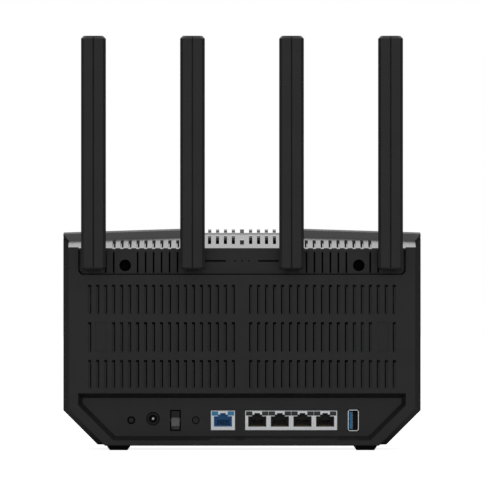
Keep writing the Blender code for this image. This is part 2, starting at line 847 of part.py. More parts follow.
def bar_profile(start, lift):
    """A bar of the comb from the side: it leaves the ledge, climbs gently and follows the roof."""
    foot = ledge_height(start)
    rail = ledge_depth(GRILLE_FOOT)
    step = rail + (ROOF_TO - rail) / 2
    return [
        (start, foot - ROOF_THICKNESS / 2),
        (start, foot + lift),
        (step, foot + lift + (step - start) * math.tan(BAR_SLOPE)),
        (step + BAR_STEP, foot + lift + (step - start) * math.tan(BAR_SLOPE) + BAR_STEP),
        (step + 2 * CUT, BAR_TOP),
        (ROOF_TO - CUT, BAR_TOP - BAR_STEP),
        (ROOF_TO - CUT, SIDE_TOP - ROOF_THICKNESS / 2),
        (rail + REAR_INSET, GRILLE_FOOT + GRILLE_RAIL - ROOF_THICKNESS / 2),
        (rail, GRILLE_FOOT - ROOF_THICKNESS / 2),
    ]


def comb_bars():
    bars = []
    for x in both_sides(column(k) for k in range(BAR_COUNT)):
        bars.append(side_profile("bar", bar_profile(GRILLE_SLOT_RUN[1] + CUT, GAP), x, SLOT_WIDTH))
    long_start = sum(GRILLE_SLOT_RUN) / 2
    bars.append(side_profile("bar", bar_profile(long_start, GAP), 0, MIDDLE_BAR_WIDTH))
    return bars


def ledge_slots():
    """Groups of cutters: steps, then what goes right through, with the plain slots before the comb."""
    heights = (LEDGE_START - 2 * ROOF_THICKNESS, BAR_TOP)
    start, end = LEDGE_SLOT_RUN
    lip = ROOF_FROM - CUT
    step = [
        (lip, ledge_height(lip) - LEDGE_STEP),
        (end, ledge_height(end) - LEDGE_STEP),
        (end, BAR_TOP),
        (lip, BAR_TOP),
    ]
    last = LEDGE_SLOT_FIRST + LEDGE_SLOT_COUNT
    xs = both_sides(column(k) for k in range(LEDGE_SLOT_FIRST, last))
    steps = [side_profile("ledge_step", step, x, SLOT_WIDTH) for x in xs]
    head_width = SLOT_WIDTH - 2 * SLOT_RIM
    heads = slots("ledge_head", xs, head_width, heights, end - LEDGE_HEAD, end - SLOT_RIM)
    slit_end = end - LEDGE_HEAD + SLOT_RIM
    width = LEDGE_SLIT_WIDTH
    slits = slots("ledge_slit", slit_places(xs, width), width, heights, start, slit_end)
    inner = both_sides(column(k) for k in range(BAR_COUNT))
    grille = slots("grille_slot", inner, SLOT_WIDTH, heights, *GRILLE_SLOT_RUN)
    start, end = MIDDLE_SLOT_RUN
    blind = [
        (start, ledge_height(start) - LEDGE_STEP),
        (end, ledge_height(end) - LEDGE_STEP),
        (end, BAR_TOP),
        (start, BAR_TOP),
    ]
    grille.append(side_profile("middle_slot", blind, 0, MIDDLE_BAR_WIDTH))
    return steps, heads, slits, grille


# ---------------------------------------------------------------- antennas
def antenna_section(shrink):
    """An antenna seen from above about its hinge axis: two facets and a groove on the rear side."""
    half = ANTENNA_WIDTH / 2 - shrink
    rear = -ANTENNA_REAR + shrink
    front = ANTENNA_FRONT - shrink
    groove = GROOVE_WIDTH / 2
    fall = GROOVE_DEPTH / 2
    return [
        (-half, rear + SIDE_FACET),
        (-half + SIDE_FACET, rear + fall),
        (-groove, rear),
        (-groove / 2, rear + GROOVE_DEPTH),
        (groove / 2, rear + GROOVE_DEPTH),
        (groove, rear),
        (half - SIDE_FACET, rear + fall),
        (half, rear + SIDE_FACET),
        (half, front - SIDE_FACET / 2),
        (half - SIDE_FACET / 2, front),
        (-half + SIDE_FACET / 2, front),
        (-half, front - SIDE_FACET / 2),
    ]


def antenna_body(name):
    """The whole antenna about its hinge axis, before it is parted into two shells."""
    bottom = ANTENNA_BOTTOM - HINGE_HEIGHT
    top = ANTENNA_TOP - HINGE_HEIGHT
    levels = [
        (bottom, SIDE_FACET / 2),
        (bottom + SIDE_FACET / 2, 0),
        (top - SIDE_FACET, 0),
        (top, SIDE_FACET),
    ]
    return loft(
        name, [[(x, y, z) for x, y in antenna_section(shrink)] for z, shrink in levels]
    )


def antenna_shell(name, low_y, high_y):
    """One of the two shells: the part of the antenna between two depths, hollowed."""
    body = antenna_body(name)
    reach = ANTENNA_TOP
    half = ANTENNA_WIDTH / 2
    slab = box("slab", (-half - CUT, low_y, -CUT * 5), (half + CUT, high_y, reach))
    boolean(body, "INTERSECT", [slab])
    top = ANTENNA_TOP - HINGE_HEIGHT
    wall = ANTENNA_WALL
    hollow = box(
        "hollow",
        (-half + wall, -ANTENNA_REAR + wall, ANTENNA_SOLID),
        (half - wall, ANTENNA_FRONT - wall, top - 2 * wall),
    )
    turn = KNUCKLE_RADIUS + GAP
    notch = box(
        "notch",
        (-KNUCKLE_WIDTH / 2 - GAP, -turn, -CUT * 5),
        (KNUCKLE_WIDTH / 2 + GAP, ANTENNA_FRONT + CUT, turn),
    )
    cut(body, hollow, notch)
    pin_reach = half - wall
    pin_bore = cylinder(
        "pin_bore", (-pin_reach, 0, 0), (pin_reach, 0, 0), PIN_RADIUS + GAP, sides=16
    )
    if high_y > PIN_RADIUS:
        cut(body, pin_bore)
    else:
        bpy.data.objects.remove(pin_bore)
    return finished_mesh(body)


def antenna_base():
    """The knuckle in the antenna's notch, its neck, the disc on the panel and the hub inside."""
    half = KNUCKLE_WIDTH / 2
    disc = HINGE_STANDOFF - GAP
    hub = HINGE_STANDOFF + PANEL_THICKNESS + HUB_LENGTH
    knuckle = cylinder("knuckle", (-half, 0, 0), (half, 0, 0), KNUCKLE_RADIUS, sides=32)
    neck = box(
        "neck", (-half, 0, -KNUCKLE_NECK / 2), (half, disc - BASE_THICKNESS / 2, KNUCKLE_NECK / 2)
    )
    flange = cylinder("flange", (0, disc - BASE_THICKNESS, 0), (0, disc, 0), BASE_RADIUS, sides=32)
    tube = cylinder("hub", (0, disc - BASE_THICKNESS / 2, 0), (0, hub, 0), HUB_RADIUS)
    for part in (neck, flange, tube):
        join(knuckle, part)
    cut(knuckle, cylinder("bore", (-half - CUT, 0, 0), (half + CUT, 0, 0), PIN_RADIUS + GAP))
    return finished_mesh(knuckle)


def antenna_pin():
    reach = ANTENNA_WIDTH / 2 - ANTENNA_WALL - GAP
    pin = cylinder("pin", (-reach, 0, 0), (reach, 0, 0), PIN_RADIUS, sides=16)
    return finished_mesh(pin)


def antenna_element():
    half = ANTENNA_WIDTH / 2 - ANTENNA_WALL - GAP
    low = ANTENNA_SOLID + GAP
    made = box(
        "element", (-half, -ELEMENT_THICKNESS / 2, low), (half, ELEMENT_THICKNESS / 2, low + ELEMENT_HEIGHT)
    )
    return finished_mesh(made)


def place_copy(name, mesh, material, origin):
    mesh.materials.clear()
    mesh.materials.append(MATERIALS[material])
    made = bpy.data.objects.new(name, mesh)
    made.location = origin
    ROUTER.objects.link(made)
    return made


def antennas():
    kinds = {
        "antenna_base": (antenna_base(), "antenna"),
        "antenna_pin": (antenna_pin(), "steel"),
        "antenna_element": (antenna_element(), "board"),
        "antenna_rear_shell": (
            antenna_shell("rear_half", -ANTENNA_REAR - CUT, -ANTENNA_SPLIT - GAP / 2),
            "antenna",
        ),
        "antenna_front_shell": (
            antenna_shell("front_half", -ANTENNA_SPLIT + GAP / 2, ANTENNA_FRONT + CUT),
            "antenna",
        ),
    }
    for place, x in ANTENNAS.items():
        for kind, (mesh, material) in kinds.items():
            place_copy(f"{kind}_{place}", mesh, material, (x, at(HINGE_DEPTH), HINGE_HEIGHT))


def antenna_leads():
    """Thin coaxial leads from the board's upper edge to the bases, in one smooth bend each."""
    start_depth = BOARD_DEPTH + BOARD_THICKNESS / 2
    end_depth = PANEL_RECESS + PANEL_THICKNESS + HUB_LENGTH + GAP
    for place, x in ANTENNAS.items():
        curve = bpy.data.curves.new(f"antenna_lead_{place}", "CURVE")
        curve.dimensions = "3D"
        curve.bevel_depth = LEAD_RADIUS
        curve.bevel_resolution = 2
        curve.use_fill_caps = True
        spline = curve.splines.new("POLY")
        steps = 10
        spline.points.add(steps)
        low = BOARD_TOP + LEAD_RADIUS + GAP
        for i, point in enumerate(spline.points):
            angle = math.pi / 2 * i / steps
            depth = end_depth + (start_depth - end_depth) * math.cos(angle)
            height = low + (HINGE_HEIGHT - low) * math.sin(angle)
            point.co = (x, at(depth), height, 1)
        made = bpy.data.objects.new(curve.name, curve)
        curve.materials.append(MATERIALS["lead"])
        ROUTER.objects.link(made)


# ---------------------------------------------------------------- sockets
def lan_shield_width():
    return (LAN_COUNT - 1) * LAN_PITCH + SHIELD_WIDTH


def socket_outline(x, bottom, grow):
    """A socket's opening: the plug's space, the step above it and the latch's notch."""
    w = SOCKET_WIDTH / 2 + grow
    s = LATCH_STEP_WIDTH / 2 + grow
    n = LATCH_WIDTH / 2 + grow
    low = bottom - grow
    a = bottom + SOCKET_HEIGHT + grow
    b = a + LATCH_STEP
    c = b + LATCH_HEIGHT
    return [
        (x - w, low),
        (x + w, low),
        (x + w, a),
        (x + s, a),
        (x + s, b),
        (x + n, b),
        (x + n, c),
        (x - n, c),
        (x - n, b),
        (x - s, b),
        (x - s, a),
        (x - w, a),
    ]


def lamp_windows(xs, top, start, end):
    """Openings in the shield's upper corners for the two lamps over each socket."""
    made = []
    for x in xs:
        for side in (-1, 1):
            centre = x + side * (SHIELD_WIDTH / 2 - SHIELD_WALL - LAMP_WIDTH / 2 - GAP)
            low = top - SHIELD_WALL - LAMP_HEIGHT
            half = LAMP_WIDTH / 2
            made.append(
                box(
                    "lamp",
                    (centre - half, at(start), low),
                    (centre + half, at(end), low + LAMP_HEIGHT),
                )
            )
    return made


def network_socket(prefix, x, width, xs, colour):
    """A metal shield open towards the board, and the plastic insert that it holds."""
    low = PORT_ROW - SHIELD_HEIGHT / 2
    top = PORT_ROW + SHIELD_HEIGHT / 2
    back = BOARD_DEPTH - GAP
    shield = box(
        f"{prefix}_shield", (x - width / 2, at(PORT_FACE), low), (x + width / 2, at(back), top)
    )
    inner = width / 2 - SHIELD_WALL
    face = PORT_FACE + SHIELD_WALL
    cut(
        shield,
        box(
            "inside",
            (x - inner, at(face), low + SHIELD_WALL),
            (x + inner, at(back + CUT), top - SHIELD_WALL),
        ),
    )
    sill = low + SOCKET_SILL
    for place in xs:
        cut(shield, plate("mouth", socket_outline(place, sill, 0), PORT_FACE - CUT, face + CUT))
    cut(shield, *lamp_windows(xs, top, PORT_FACE - CUT, face + CUT))
    piece(shield, f"{prefix}_jack_shield", "shield")
    inner -= GAP
    insert = box(
        f"{prefix}_insert",
        (x - inner, at(face + GAP), low + SHIELD_WALL + GAP),
        (x + inner, at(back - GAP), top - SHIELD_WALL - GAP),
    )
    for place in xs:
        hole = socket_outline(place, sill, -GAP)
        cut(insert, plate("mouth", hole, face - CUT, face + SOCKET_DEPTH))
    piece(insert, f"{prefix}_jack_insert", colour)


def network_sockets():
    network_socket("wan", WAN_X, SHIELD_WIDTH, [WAN_X], "blue")
    places = [LAN_X + (i - (LAN_COUNT - 1) / 2) * LAN_PITCH for i in range(LAN_COUNT)]
    network_socket("lan", LAN_X, lan_shield_width(), places, "socket")


def chamfered(x, z, width, height, corner):
    w = width / 2
    h = height / 2
    return [
        (x - w + corner, z - h),
        (x + w - corner, z - h),
        (x + w, z - h + corner),
        (x + w, z + h - corner),
        (x + w - corner, z + h),
        (x - w + corner, z + h),
        (x - w, z + h - corner),
        (x - w, z - h + corner),
    ]


def usb_socket():
    """A metal shell standing on end, with its tongue beside the left wall."""
    face = PORT_FACE
    end = BOARD_DEPTH - GAP
    corner = USB_WALL * 2
    shell = plate("usb_shell", chamfered(USB_X, PORT_ROW, USB_WIDTH, USB_HEIGHT, corner), face, end)
    w = USB_WIDTH - 2 * USB_WALL
    h = USB_HEIGHT - 2 * USB_WALL
    inside = chamfered(USB_X, PORT_ROW, w, h, corner - USB_WALL)
    cut(shell, plate("usb_inside", inside, face - CUT, face + USB_DEPTH))
    piece(shell, "usb_shell", "shield")
    thickness, height = USB_TONGUE
    left = USB_X - w / 2 + 2 * GAP
    tongue = box(
        "usb_tongue",
        (left, at(face + 2 * USB_WALL), PORT_ROW - height / 2),
        (left + thickness, at(face + USB_DEPTH - GAP), PORT_ROW + height / 2),
    )
    piece(tongue, "usb_tongue", "blue")


def power_inlet():
    face = PORT_FACE
    body = bore(INLET_X, INLET_Z, INLET_RADIUS, face, BOARD_DEPTH - GAP)
    cut(body, bore(INLET_X, INLET_Z, INLET_BORE, face - CUT, face + INLET_DEPTH))
    piece(body, "dc_jack_body", "socket")
    pin_end = face + INLET_DEPTH - GAP
    pin = bore(INLET_X, INLET_Z, INLET_PIN, face + INLET_DEPTH * 0.1, pin_end, 16)
    piece(pin, "dc_jack_pin", "steel")


def rocker_profile():
    """The rocker from the side, at rest pressed in at its top: a plate, a rising facet and a belly."""
    axis = PORT_FACE + ROCKER_AXIS_DEPTH
    points = [(PORT_FACE + depth, PORT_ROW + height) for depth, height in ROCKER_FACE]
    steps = 6
    for i in range(steps + 1):
        angle = math.pi * i / steps
        depth = axis + ROCKER_BELLY * math.sin(angle)
        points.append((depth, PORT_ROW - ROCKER_BELLY * math.cos(angle)))
    points.append((axis + GAP, PORT_ROW + ROCKER_FACE[0][1]))
    return points


def power_switch():
    axis = PORT_FACE + ROCKER_AXIS_DEPTH
    x = ROCKER_X
    width = ROCKER_OPENING[0]
    height = ROCKER_OPENING[1] + ROCKER_PLAY
    face = BAY_BACK + GAP
    housing = opening(x, PORT_ROW, width, height, face, BOARD_DEPTH - GAP, SWITCH_WALL)
    housing.name = "switch_housing"
    cut(housing, opening(x, PORT_ROW, width, height, face - CUT, face + SWITCH_POCKET, 0))
    reach = width / 2 + SWITCH_WALL / 2
    pin_line = ((x - reach, at(axis), PORT_ROW), (x + reach, at(axis), PORT_ROW))
    cut(housing, cylinder("pin_bore", *pin_line, ROCKER_PIN + GAP, sides=16))
    piece(housing, "power_switch_body", "socket")
    rocker = side_profile("rocker", rocker_profile(), x, ROCKER_WIDTH)
    reach -= GAP
    pin_line = ((x - reach, at(axis), PORT_ROW), (x + reach, at(axis), PORT_ROW))
    join(rocker, cylinder("pins", *pin_line, ROCKER_PIN, sides=16))
    mesh = finished_mesh(rocker)
    mesh.transform(Matrix.Translation((-x, -at(axis), -PORT_ROW)))
    place_copy("power_rocker", mesh, "rocker", (x, at(axis), PORT_ROW))


def push_buttons():
    """A cap with a flange behind the floor, and the tactile switch that it presses."""
    for name, x in BUTTON_XS:
        face = PORT_FACE - GAP
        back = BAY_BACK + GAP
        switch_face = BOARD_DEPTH - 0.0050
        cap = bore(x, BUTTON_Z, BUTTON_CAPS[name], face, switch_face - BUTTON_TRAVEL - GAP, 20)
        join(cap, bore(x, BUTTON_Z, BUTTON_FLANGE, back, back + 2 * SWITCH_WALL, 20))
        mesh = finished_mesh(cap)
        mesh.transform(Matrix.Translation((-x, -at(face), -BUTTON_Z)))
        place_copy(f"{name}_button", mesh, "button", (x, at(face), BUTTON_Z))
        half = BUTTON_FLANGE - GAP
        switch = box(
            f"{name}_switch",
            (x - half, at(switch_face + SWITCH_WALL), BUTTON_Z - half),
            (x + half, at(BOARD_DEPTH - GAP), BUTTON_Z + half),
        )
        join(switch, bore(x, BUTTON_Z, BUTTON_STEM, switch_face, BOARD_DEPTH - 2 * GAP, 16))
        piece(switch, f"{name}_switch", "socket")


# ---------------------------------------------------------------- inside
def main_board():
    low = BOARD_BOTTOM
    outline = [
        (-BOARD_HALF + BOARD_CORNER, low),
        (BOARD_HALF - BOARD_CORNER, low),
        (BOARD_HALF, low + BOARD_CORNER),
        (BOARD_HALF, BOARD_TOP),
        (-BOARD_HALF, BOARD_TOP),
        (-BOARD_HALF, low + BOARD_CORNER),
    ]
    end = BOARD_DEPTH + BOARD_THICKNESS
    board = plate("board", outline, BOARD_DEPTH, end)
    holes = [
        bore(x, z, SCREW_RADIUS + GAP, BOARD_DEPTH - CUT, end + CUT, 12)
        for x in both_sides([BOARD_SCREW_X])
        for z in BOARD_SCREW_ZS
    ]
    cut(board, *holes)
    piece(board, "main_board", "board")


def heat_sink():
    """A finned aluminium plate on the processor, its fins towards the rear vents."""
    low, high = SINK_ZS
    back = BOARD_DEPTH - CHIP_THICKNESS - 2 * GAP
    face = back - SINK_PLATE
    plate_box = box("plate", (-SINK_HALF, at(face), low), (SINK_HALF, at(back), high))
    pitch = (2 * SINK_HALF - SINK_FIN) / (SINK_FIN_COUNT - 1)
    fins = []
    for i in range(SINK_FIN_COUNT):
        left = -SINK_HALF + i * pitch
        fins.append(
            box("fin", (left, at(face - SINK_REACH), low), (left + SINK_FIN, at(face + GAP), high))
        )
    join(plate_box, *fins)
    piece(plate_box, "heat_sink", "sink")
    middle = (low + high) / 2
    half = CHIP_SIZE / 2
    chip = box(
        "chip",
        (-half, at(back + GAP), middle - half),
        (half, at(BOARD_DEPTH - GAP), middle + half),
    )
    piece(chip, "processor", "socket")


def radio_shield():
    width, depth, height = CAN_SIZE
    start = BOARD_DEPTH + BOARD_THICKNESS + GAP
    can = opening(0, CAN_HEIGHT, width, height, start, start + depth, 0)
    cut(
        can,
        opening(0, CAN_HEIGHT, width, height, start - CUT, start + depth - SHIELD_WALL, -SHIELD_WALL),
    )
    piece(can, "radio_shield", "shield")


def screw(name, x, z, seat, direction):
    """A pan-head screw, turned about its axis: its head on the seat, its shank along direction."""
    curve = [
        (0, SCREW_HEAD_HEIGHT),
        (SCREW_HEAD * 0.75, SCREW_HEAD_HEIGHT),
        (SCREW_HEAD, SCREW_HEAD_HEIGHT * 0.6),
        (SCREW_HEAD, GAP),
        (SCREW_RADIUS, GAP),
        (SCREW_RADIUS, -SCREW_LENGTH + 2 * CUT),
        (0, -SCREW_LENGTH + CUT),
    ]
    bm = bmesh.new()
    points = [bm.verts.new((radius, 0, height)) for radius, height in curve]
    for first, second in zip(points, points[1:]):
        bm.edges.new((first, second))
    mesh = bpy.data.meshes.new(name)
    bm.to_mesh(mesh)
    bm.free()
    made = bpy.data.objects.new(name, mesh)
    turn = made.modifiers.new("turn", "SCREW")
    turn.steps = 16
    turn.render_steps = 16
    turn.use_merge_vertices = True
    turn.merge_threshold = 0.00001
    made.rotation_euler = (math.radians(90 * direction), 0, 0)
    made.location = (x, at(seat), z)
    mesh.materials.append(MATERIALS["steel"])
    ROUTER.objects.link(made)


def screws():
    seat = PANEL_RECESS + WELL_DEPTH - WELL_FLOOR
    for side, x in (("left", -WELL_X), ("right", WELL_X)):
        screw(f"panel_screw_{side}", x, WELL_HEIGHT, seat, 1)
    seat = BOARD_DEPTH + BOARD_THICKNESS
    places = [(x, z) for z in BOARD_SCREW_ZS for x in both_sides([BOARD_SCREW_X])]
    for number, (x, z) in enumerate(places, 1):
        screw(f"board_screw_{number}", x, z, seat, -1)


def feet():
    """Four rubber feet, narrower where they stand."""
    near = FOOT_FROM_EDGE
    far = CASE_DEPTH - FRONT_BEVEL - FOOT_FROM_EDGE - FOOT_DEPTH
    for end, start, top in (("rear", near, FOOT_HEIGHT), ("front", far, FOOT_HEIGHT)):
        for side, x in (("left", -FOOT_X), ("right", FOOT_X)):
            rings = []
            for height, shrink in ((top - GAP, 0), (0, FOOT_SLANT)):
                half = FOOT_LENGTH / 2 - shrink
                low = start + shrink / 2
                high = start + FOOT_DEPTH - shrink / 2
                corners = [(x - half, low), (x + half, low), (x + half, high), (x - half, high)]
                rings.append([(u, at(depth), height) for u, depth in corners])
            piece(loft(f"{end}_foot", rings), f"foot_{end}_{side}", "rubber")


rear_cover()
front_cover()
light_pipe()
antenna_panel()
roof_cover()
antennas()
antenna_leads()
network_sockets()
usb_socket()
power_inlet()
power_switch()
push_buttons()
main_board()
heat_sink()
radio_shield()
screws()
feet()
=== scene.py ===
# %% [markdown]
# # An upright wireless router, finished for a picture
#
# The solids of the router come from a CAD model, in which every piece sits in its right place and turns about its
# right axis. This script never moves those solids. It adds what a drawing lacks: rounded moulded edges, plated
# contacts, cross-head screws, and a finish for each material.

# %% Load the solids
import json
import math

import bpy
from mathutils import Matrix, Vector

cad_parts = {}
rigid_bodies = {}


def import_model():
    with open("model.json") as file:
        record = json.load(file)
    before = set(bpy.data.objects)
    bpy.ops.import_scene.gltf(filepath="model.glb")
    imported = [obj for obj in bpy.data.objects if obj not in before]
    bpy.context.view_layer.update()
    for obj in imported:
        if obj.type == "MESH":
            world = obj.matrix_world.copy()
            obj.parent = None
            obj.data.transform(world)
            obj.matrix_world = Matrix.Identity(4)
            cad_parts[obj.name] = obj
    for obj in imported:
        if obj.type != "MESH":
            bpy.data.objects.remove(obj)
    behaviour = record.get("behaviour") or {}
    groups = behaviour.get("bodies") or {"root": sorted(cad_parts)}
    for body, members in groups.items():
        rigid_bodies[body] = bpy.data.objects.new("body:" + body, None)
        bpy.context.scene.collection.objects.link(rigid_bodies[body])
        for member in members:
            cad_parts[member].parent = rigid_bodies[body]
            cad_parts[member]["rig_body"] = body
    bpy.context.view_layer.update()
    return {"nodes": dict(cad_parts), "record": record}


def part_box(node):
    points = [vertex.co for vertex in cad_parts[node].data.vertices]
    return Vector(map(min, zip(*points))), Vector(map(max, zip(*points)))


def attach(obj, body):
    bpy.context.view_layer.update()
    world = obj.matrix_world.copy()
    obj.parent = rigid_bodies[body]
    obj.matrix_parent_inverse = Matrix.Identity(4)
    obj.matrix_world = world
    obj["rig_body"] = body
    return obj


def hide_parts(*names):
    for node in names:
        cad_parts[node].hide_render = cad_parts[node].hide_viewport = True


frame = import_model()
PLACES = ("outer_left", "inner_left", "inner_right", "outer_right")

# %% [markdown]
# ## Camera
#
# The router is looked at from behind, with the camera level with the foot of the antennas. A long lens from well
# back keeps the upright edges parallel, as in a catalogue picture. The lens length follows from the width
# that has to fit in the picture at the distance of the rear wall.

# %% Put the camera behind the sockets
VIEW_WIDTH = 0.3146
DISTANCE = 5.0
EYE_HEIGHT = 0.1355
SENSOR = 36.0

rear_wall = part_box("rear_cover")[0].y
camera_data = bpy.data.cameras.new("camera")
camera_data.sensor_width = SENSOR
camera_data.lens = SENSOR * DISTANCE / VIEW_WIDTH
camera_data.clip_start = 0.05
camera_data.clip_end = 50
camera = bpy.data.objects.new("camera", camera_data)
camera.location = (0, rear_wall - DISTANCE, EYE_HEIGHT)
camera.rotation_euler = (math.radians(90), 0, 0)
scene = bpy.context.scene
scene.collection.objects.link(camera)
scene.camera = camera
scene.view_settings.view_transform = "Standard"
print("lens in mm:", round(camera_data.lens, 1))

# %% [markdown]
# ## Light
#
# Black plastic shows almost nothing but what it reflects, so the surroundings do the lighting. In a studio, pale card
# goes behind and above such an object and dark card at its sides. Here the sky is that card: brightest behind the
# router and well above the floor, softer overhead and on the camera's side, and dark low down behind it and to the
# left and right. The camera itself sees plain white. Each card has soft borders, given as two values of the
# direction's part along an axis, where 0 is square to the axis and 1 is straight along it.


# %% A sky that acts as white and dark cards
def node_in(tree, kind, **values):
    """Adds a shader node and sets its properties and its sockets' starting values."""
    node = tree.nodes.new(kind)
    for key, value in values.items():
        if key in node.inputs:
            node.inputs[key].default_value = value
        else:
            setattr(node, key, value)
    return node


def smooth_step(tree, source, low, high):
    """A value that climbs smoothly from 0 at low to 1 at high."""
    node = node_in(tree, "ShaderNodeMapRange", interpolation_type="SMOOTHSTEP")
    node.inputs["From Min"].default_value = low
    node.inputs["From Max"].default_value = high
    tree.links.new(source, node.inputs["Value"])
    return node.outputs["Result"]


def maths(tree, operation, first, second):
    """One arithmetic step; either side is a socket or a number."""
    node = node_in(tree, "ShaderNodeMath", operation=operation)
    for socket, value in zip(node.inputs, (first, second)):
        if isinstance(value, (int, float)):
            socket.default_value = value
        else:
            tree.links.new(value, socket)
    return node.outputs[0]


CAMERA_SIDE = 0.80
OVERHEAD = 0.62
BACKDROP = 1.6
LOW_BACKDROP = 0.20
DARK_CARD = 0.10
WHITE = (1, 1, 1, 1)
BEHIND_BORDER = (0.25, 0.8)
OVERHEAD_BORDER = (0.35, 0.85)
RAISED_BORDER = (0.19, 0.35)
SIDE_BORDER = (0.55, 0.9)

world = bpy.data.worlds.new("studio")
scene.world = world
world.use_nodes = True
sky = world.node_tree
background = sky.nodes["Background"]
direction = node_in(sky, "ShaderNodeSeparateXYZ")
sky.links.new(node_in(sky, "ShaderNodeTexCoord").outputs["Generated"], direction.inputs[0])
sideways = maths(sky, "ABSOLUTE", direction.outputs["X"], 0.0)
behind = smooth_step(sky, direction.outputs["Y"], *BEHIND_BORDER)
above = smooth_step(sky, direction.outputs["Z"], *OVERHEAD_BORDER)
from_above = maths(sky, "MULTIPLY", above, OVERHEAD - CAMERA_SIDE)
raised = smooth_step(sky, direction.outputs["Z"], *RAISED_BORDER)
backdrop = maths(sky, "ADD", LOW_BACKDROP, maths(sky, "MULTIPLY", raised, BACKDROP - LOW_BACKDROP))
from_behind = maths(sky, "MULTIPLY", behind, maths(sky, "SUBTRACT", backdrop, CAMERA_SIDE))
level = maths(sky, "ADD", CAMERA_SIDE, maths(sky, "ADD", from_above, from_behind))
dark = maths(sky, "MULTIPLY", smooth_step(sky, sideways, *SIDE_BORDER), 1 - DARK_CARD)
card = maths(sky, "MULTIPLY", level, maths(sky, "SUBTRACT", 1.0, dark))
seen = node_in(sky, "ShaderNodeLightPath").outputs["Is Camera Ray"]
strength = maths(sky, "MAXIMUM", card, seen)
sky.links.new(strength, background.inputs["Strength"])
background.inputs["Color"].default_value = WHITE
print("sky levels:", CAMERA_SIDE, OVERHEAD, BACKDROP, LOW_BACKDROP, DARK_CARD)

# %% A soft lamp overhead
SOFT_LAMP_SIZE = (1.6, 1.0)
SOFT_LAMP_PLACE = (0, 0.1, 1.7)
SOFT_LAMP_WATTS = 3

lamp_data = bpy.data.lights.new("overhead", "AREA")
lamp_data.shape = "RECTANGLE"
lamp_data.size, lamp_data.size_y = SOFT_LAMP_SIZE
lamp_data.energy = SOFT_LAMP_WATTS
lamp = bpy.data.objects.new("overhead", lamp_data)
lamp.location = SOFT_LAMP_PLACE
scene.collection.objects.link(lamp)
print("lamp energy in watts:", lamp_data.energy)

# %% [markdown]
# ## Floor
#
# A large pale disc under the feet. It glows, but only for the camera, so it looks nearly white and takes a soft
# shadow without shining on the underside of the router.

# %% Make the floor
FLOOR_RADIUS = 6.0
FLOOR_GREY = 0.55
FLOOR_GLOW = 0.88


def deselect_all():
    """Operators act on everything that is selected, so each step starts from nothing."""
    if bpy.context.object and bpy.context.object.mode == "EDIT":
        bpy.ops.object.mode_set(mode="OBJECT")
    bpy.ops.object.select_all(action="DESELECT")


deselect_all()
bpy.ops.mesh.primitive_circle_add(vertices=96, radius=FLOOR_RADIUS, fill_type="NGON", location=(0, 0, 0))
floor = bpy.context.object
floor.name = "floor"
floor_material = bpy.data.materials.new("pale_floor")
floor_material.use_nodes = True
tree = floor_material.node_tree
floor_shader = tree.nodes["Principled BSDF"]
floor_shader.inputs["Base Color"].default_value = (FLOOR_GREY, FLOOR_GREY, FLOOR_GREY, 1)
floor_shader.inputs["Roughness"].default_value = 0.9
floor_shader.inputs["Specular IOR Level"].default_value = 0.0
floor_shader.inputs["Emission Color"].default_value = WHITE
glow = maths(tree, "MULTIPLY", node_in(tree, "ShaderNodeLightPath").outputs["Is Camera Ray"], FLOOR_GLOW)
tree.links.new(glow, floor_shader.inputs["Emission Strength"])
floor.data.materials.append(floor_material)
print("floor radius in m:", FLOOR_RADIUS)

# %% [markdown]
# ## Finishes
#
# Moulded plastic is never one flat colour. The steel mould is etched with a fine grain, which breaks up the gloss,
# and the surface varies a little over a few centimetres from the way the plastic flowed. Both effects are needed in
# nearly every material here, so each is a node group that is built once.


# %% Node groups for grain and for slow variation
def new_group(name, inputs, outputs):
    """An empty shader node group with number inputs and number outputs."""
    group = bpy.data.node_groups.new(name, "ShaderNodeTree")
    for label, value in inputs:
        socket = group.interface.new_socket(label, in_out="INPUT", socket_type="NodeSocketFloat")
        socket.default_value = value
    for label in outputs:
        group.interface.new_socket(label, in_out="OUTPUT", socket_type="NodeSocketFloat")
    return group, group.nodes.new("NodeGroupInput"), group.nodes.new("NodeGroupOutput")


def object_coordinates(tree, stretch=(1, 1, 1)):
    """Object coordinates in metres, stretched along chosen axes."""
    mapping = node_in(tree, "ShaderNodeMapping", Scale=stretch)
    tree.links.new(node_in(tree, "ShaderNodeTexCoord").outputs["Object"], mapping.inputs["Vector"])
    return mapping.outputs["Vector"]


grain_group, inside, outside = new_group(
    "etched_grain", (("Grains per metre", 3500.0), ("Clouds per metre", 45.0)), ("Height", "Mask", "Clouds")
)
place = object_coordinates(grain_group)
fine = node_in(grain_group, "ShaderNodeTexNoise", Detail=2.0, Roughness=0.55)
pits = node_in(grain_group, "ShaderNodeTexVoronoi", feature="SMOOTH_F1", Smoothness=0.6)
slow = node_in(grain_group, "ShaderNodeTexNoise", Detail=3.0, Roughness=0.5)
for texture, source in ((fine, 0), (pits, 0), (slow, 1)):
    grain_group.links.new(place, texture.inputs["Vector"])
    grain_group.links.new(inside.outputs[source], texture.inputs["Scale"])
height = maths(grain_group, "MULTIPLY", fine.outputs["Fac"], pits.outputs["Distance"])
grain_group.links.new(height, outside.inputs["Height"])
grain_group.links.new(smooth_step(grain_group, fine.outputs["Fac"], 0.35, 0.65), outside.inputs["Mask"])
grain_group.links.new(smooth_step(grain_group, slow.outputs["Fac"], 0.3, 0.7), outside.inputs["Clouds"])
print("group:", grain_group.name)

# %% [markdown]
# Rolled and drawn metal carries fine parallel scratches. A noise texture squeezed hard along one axis gives them.
# The group stretches its own coordinates, so one group serves for strips that run along any axis.


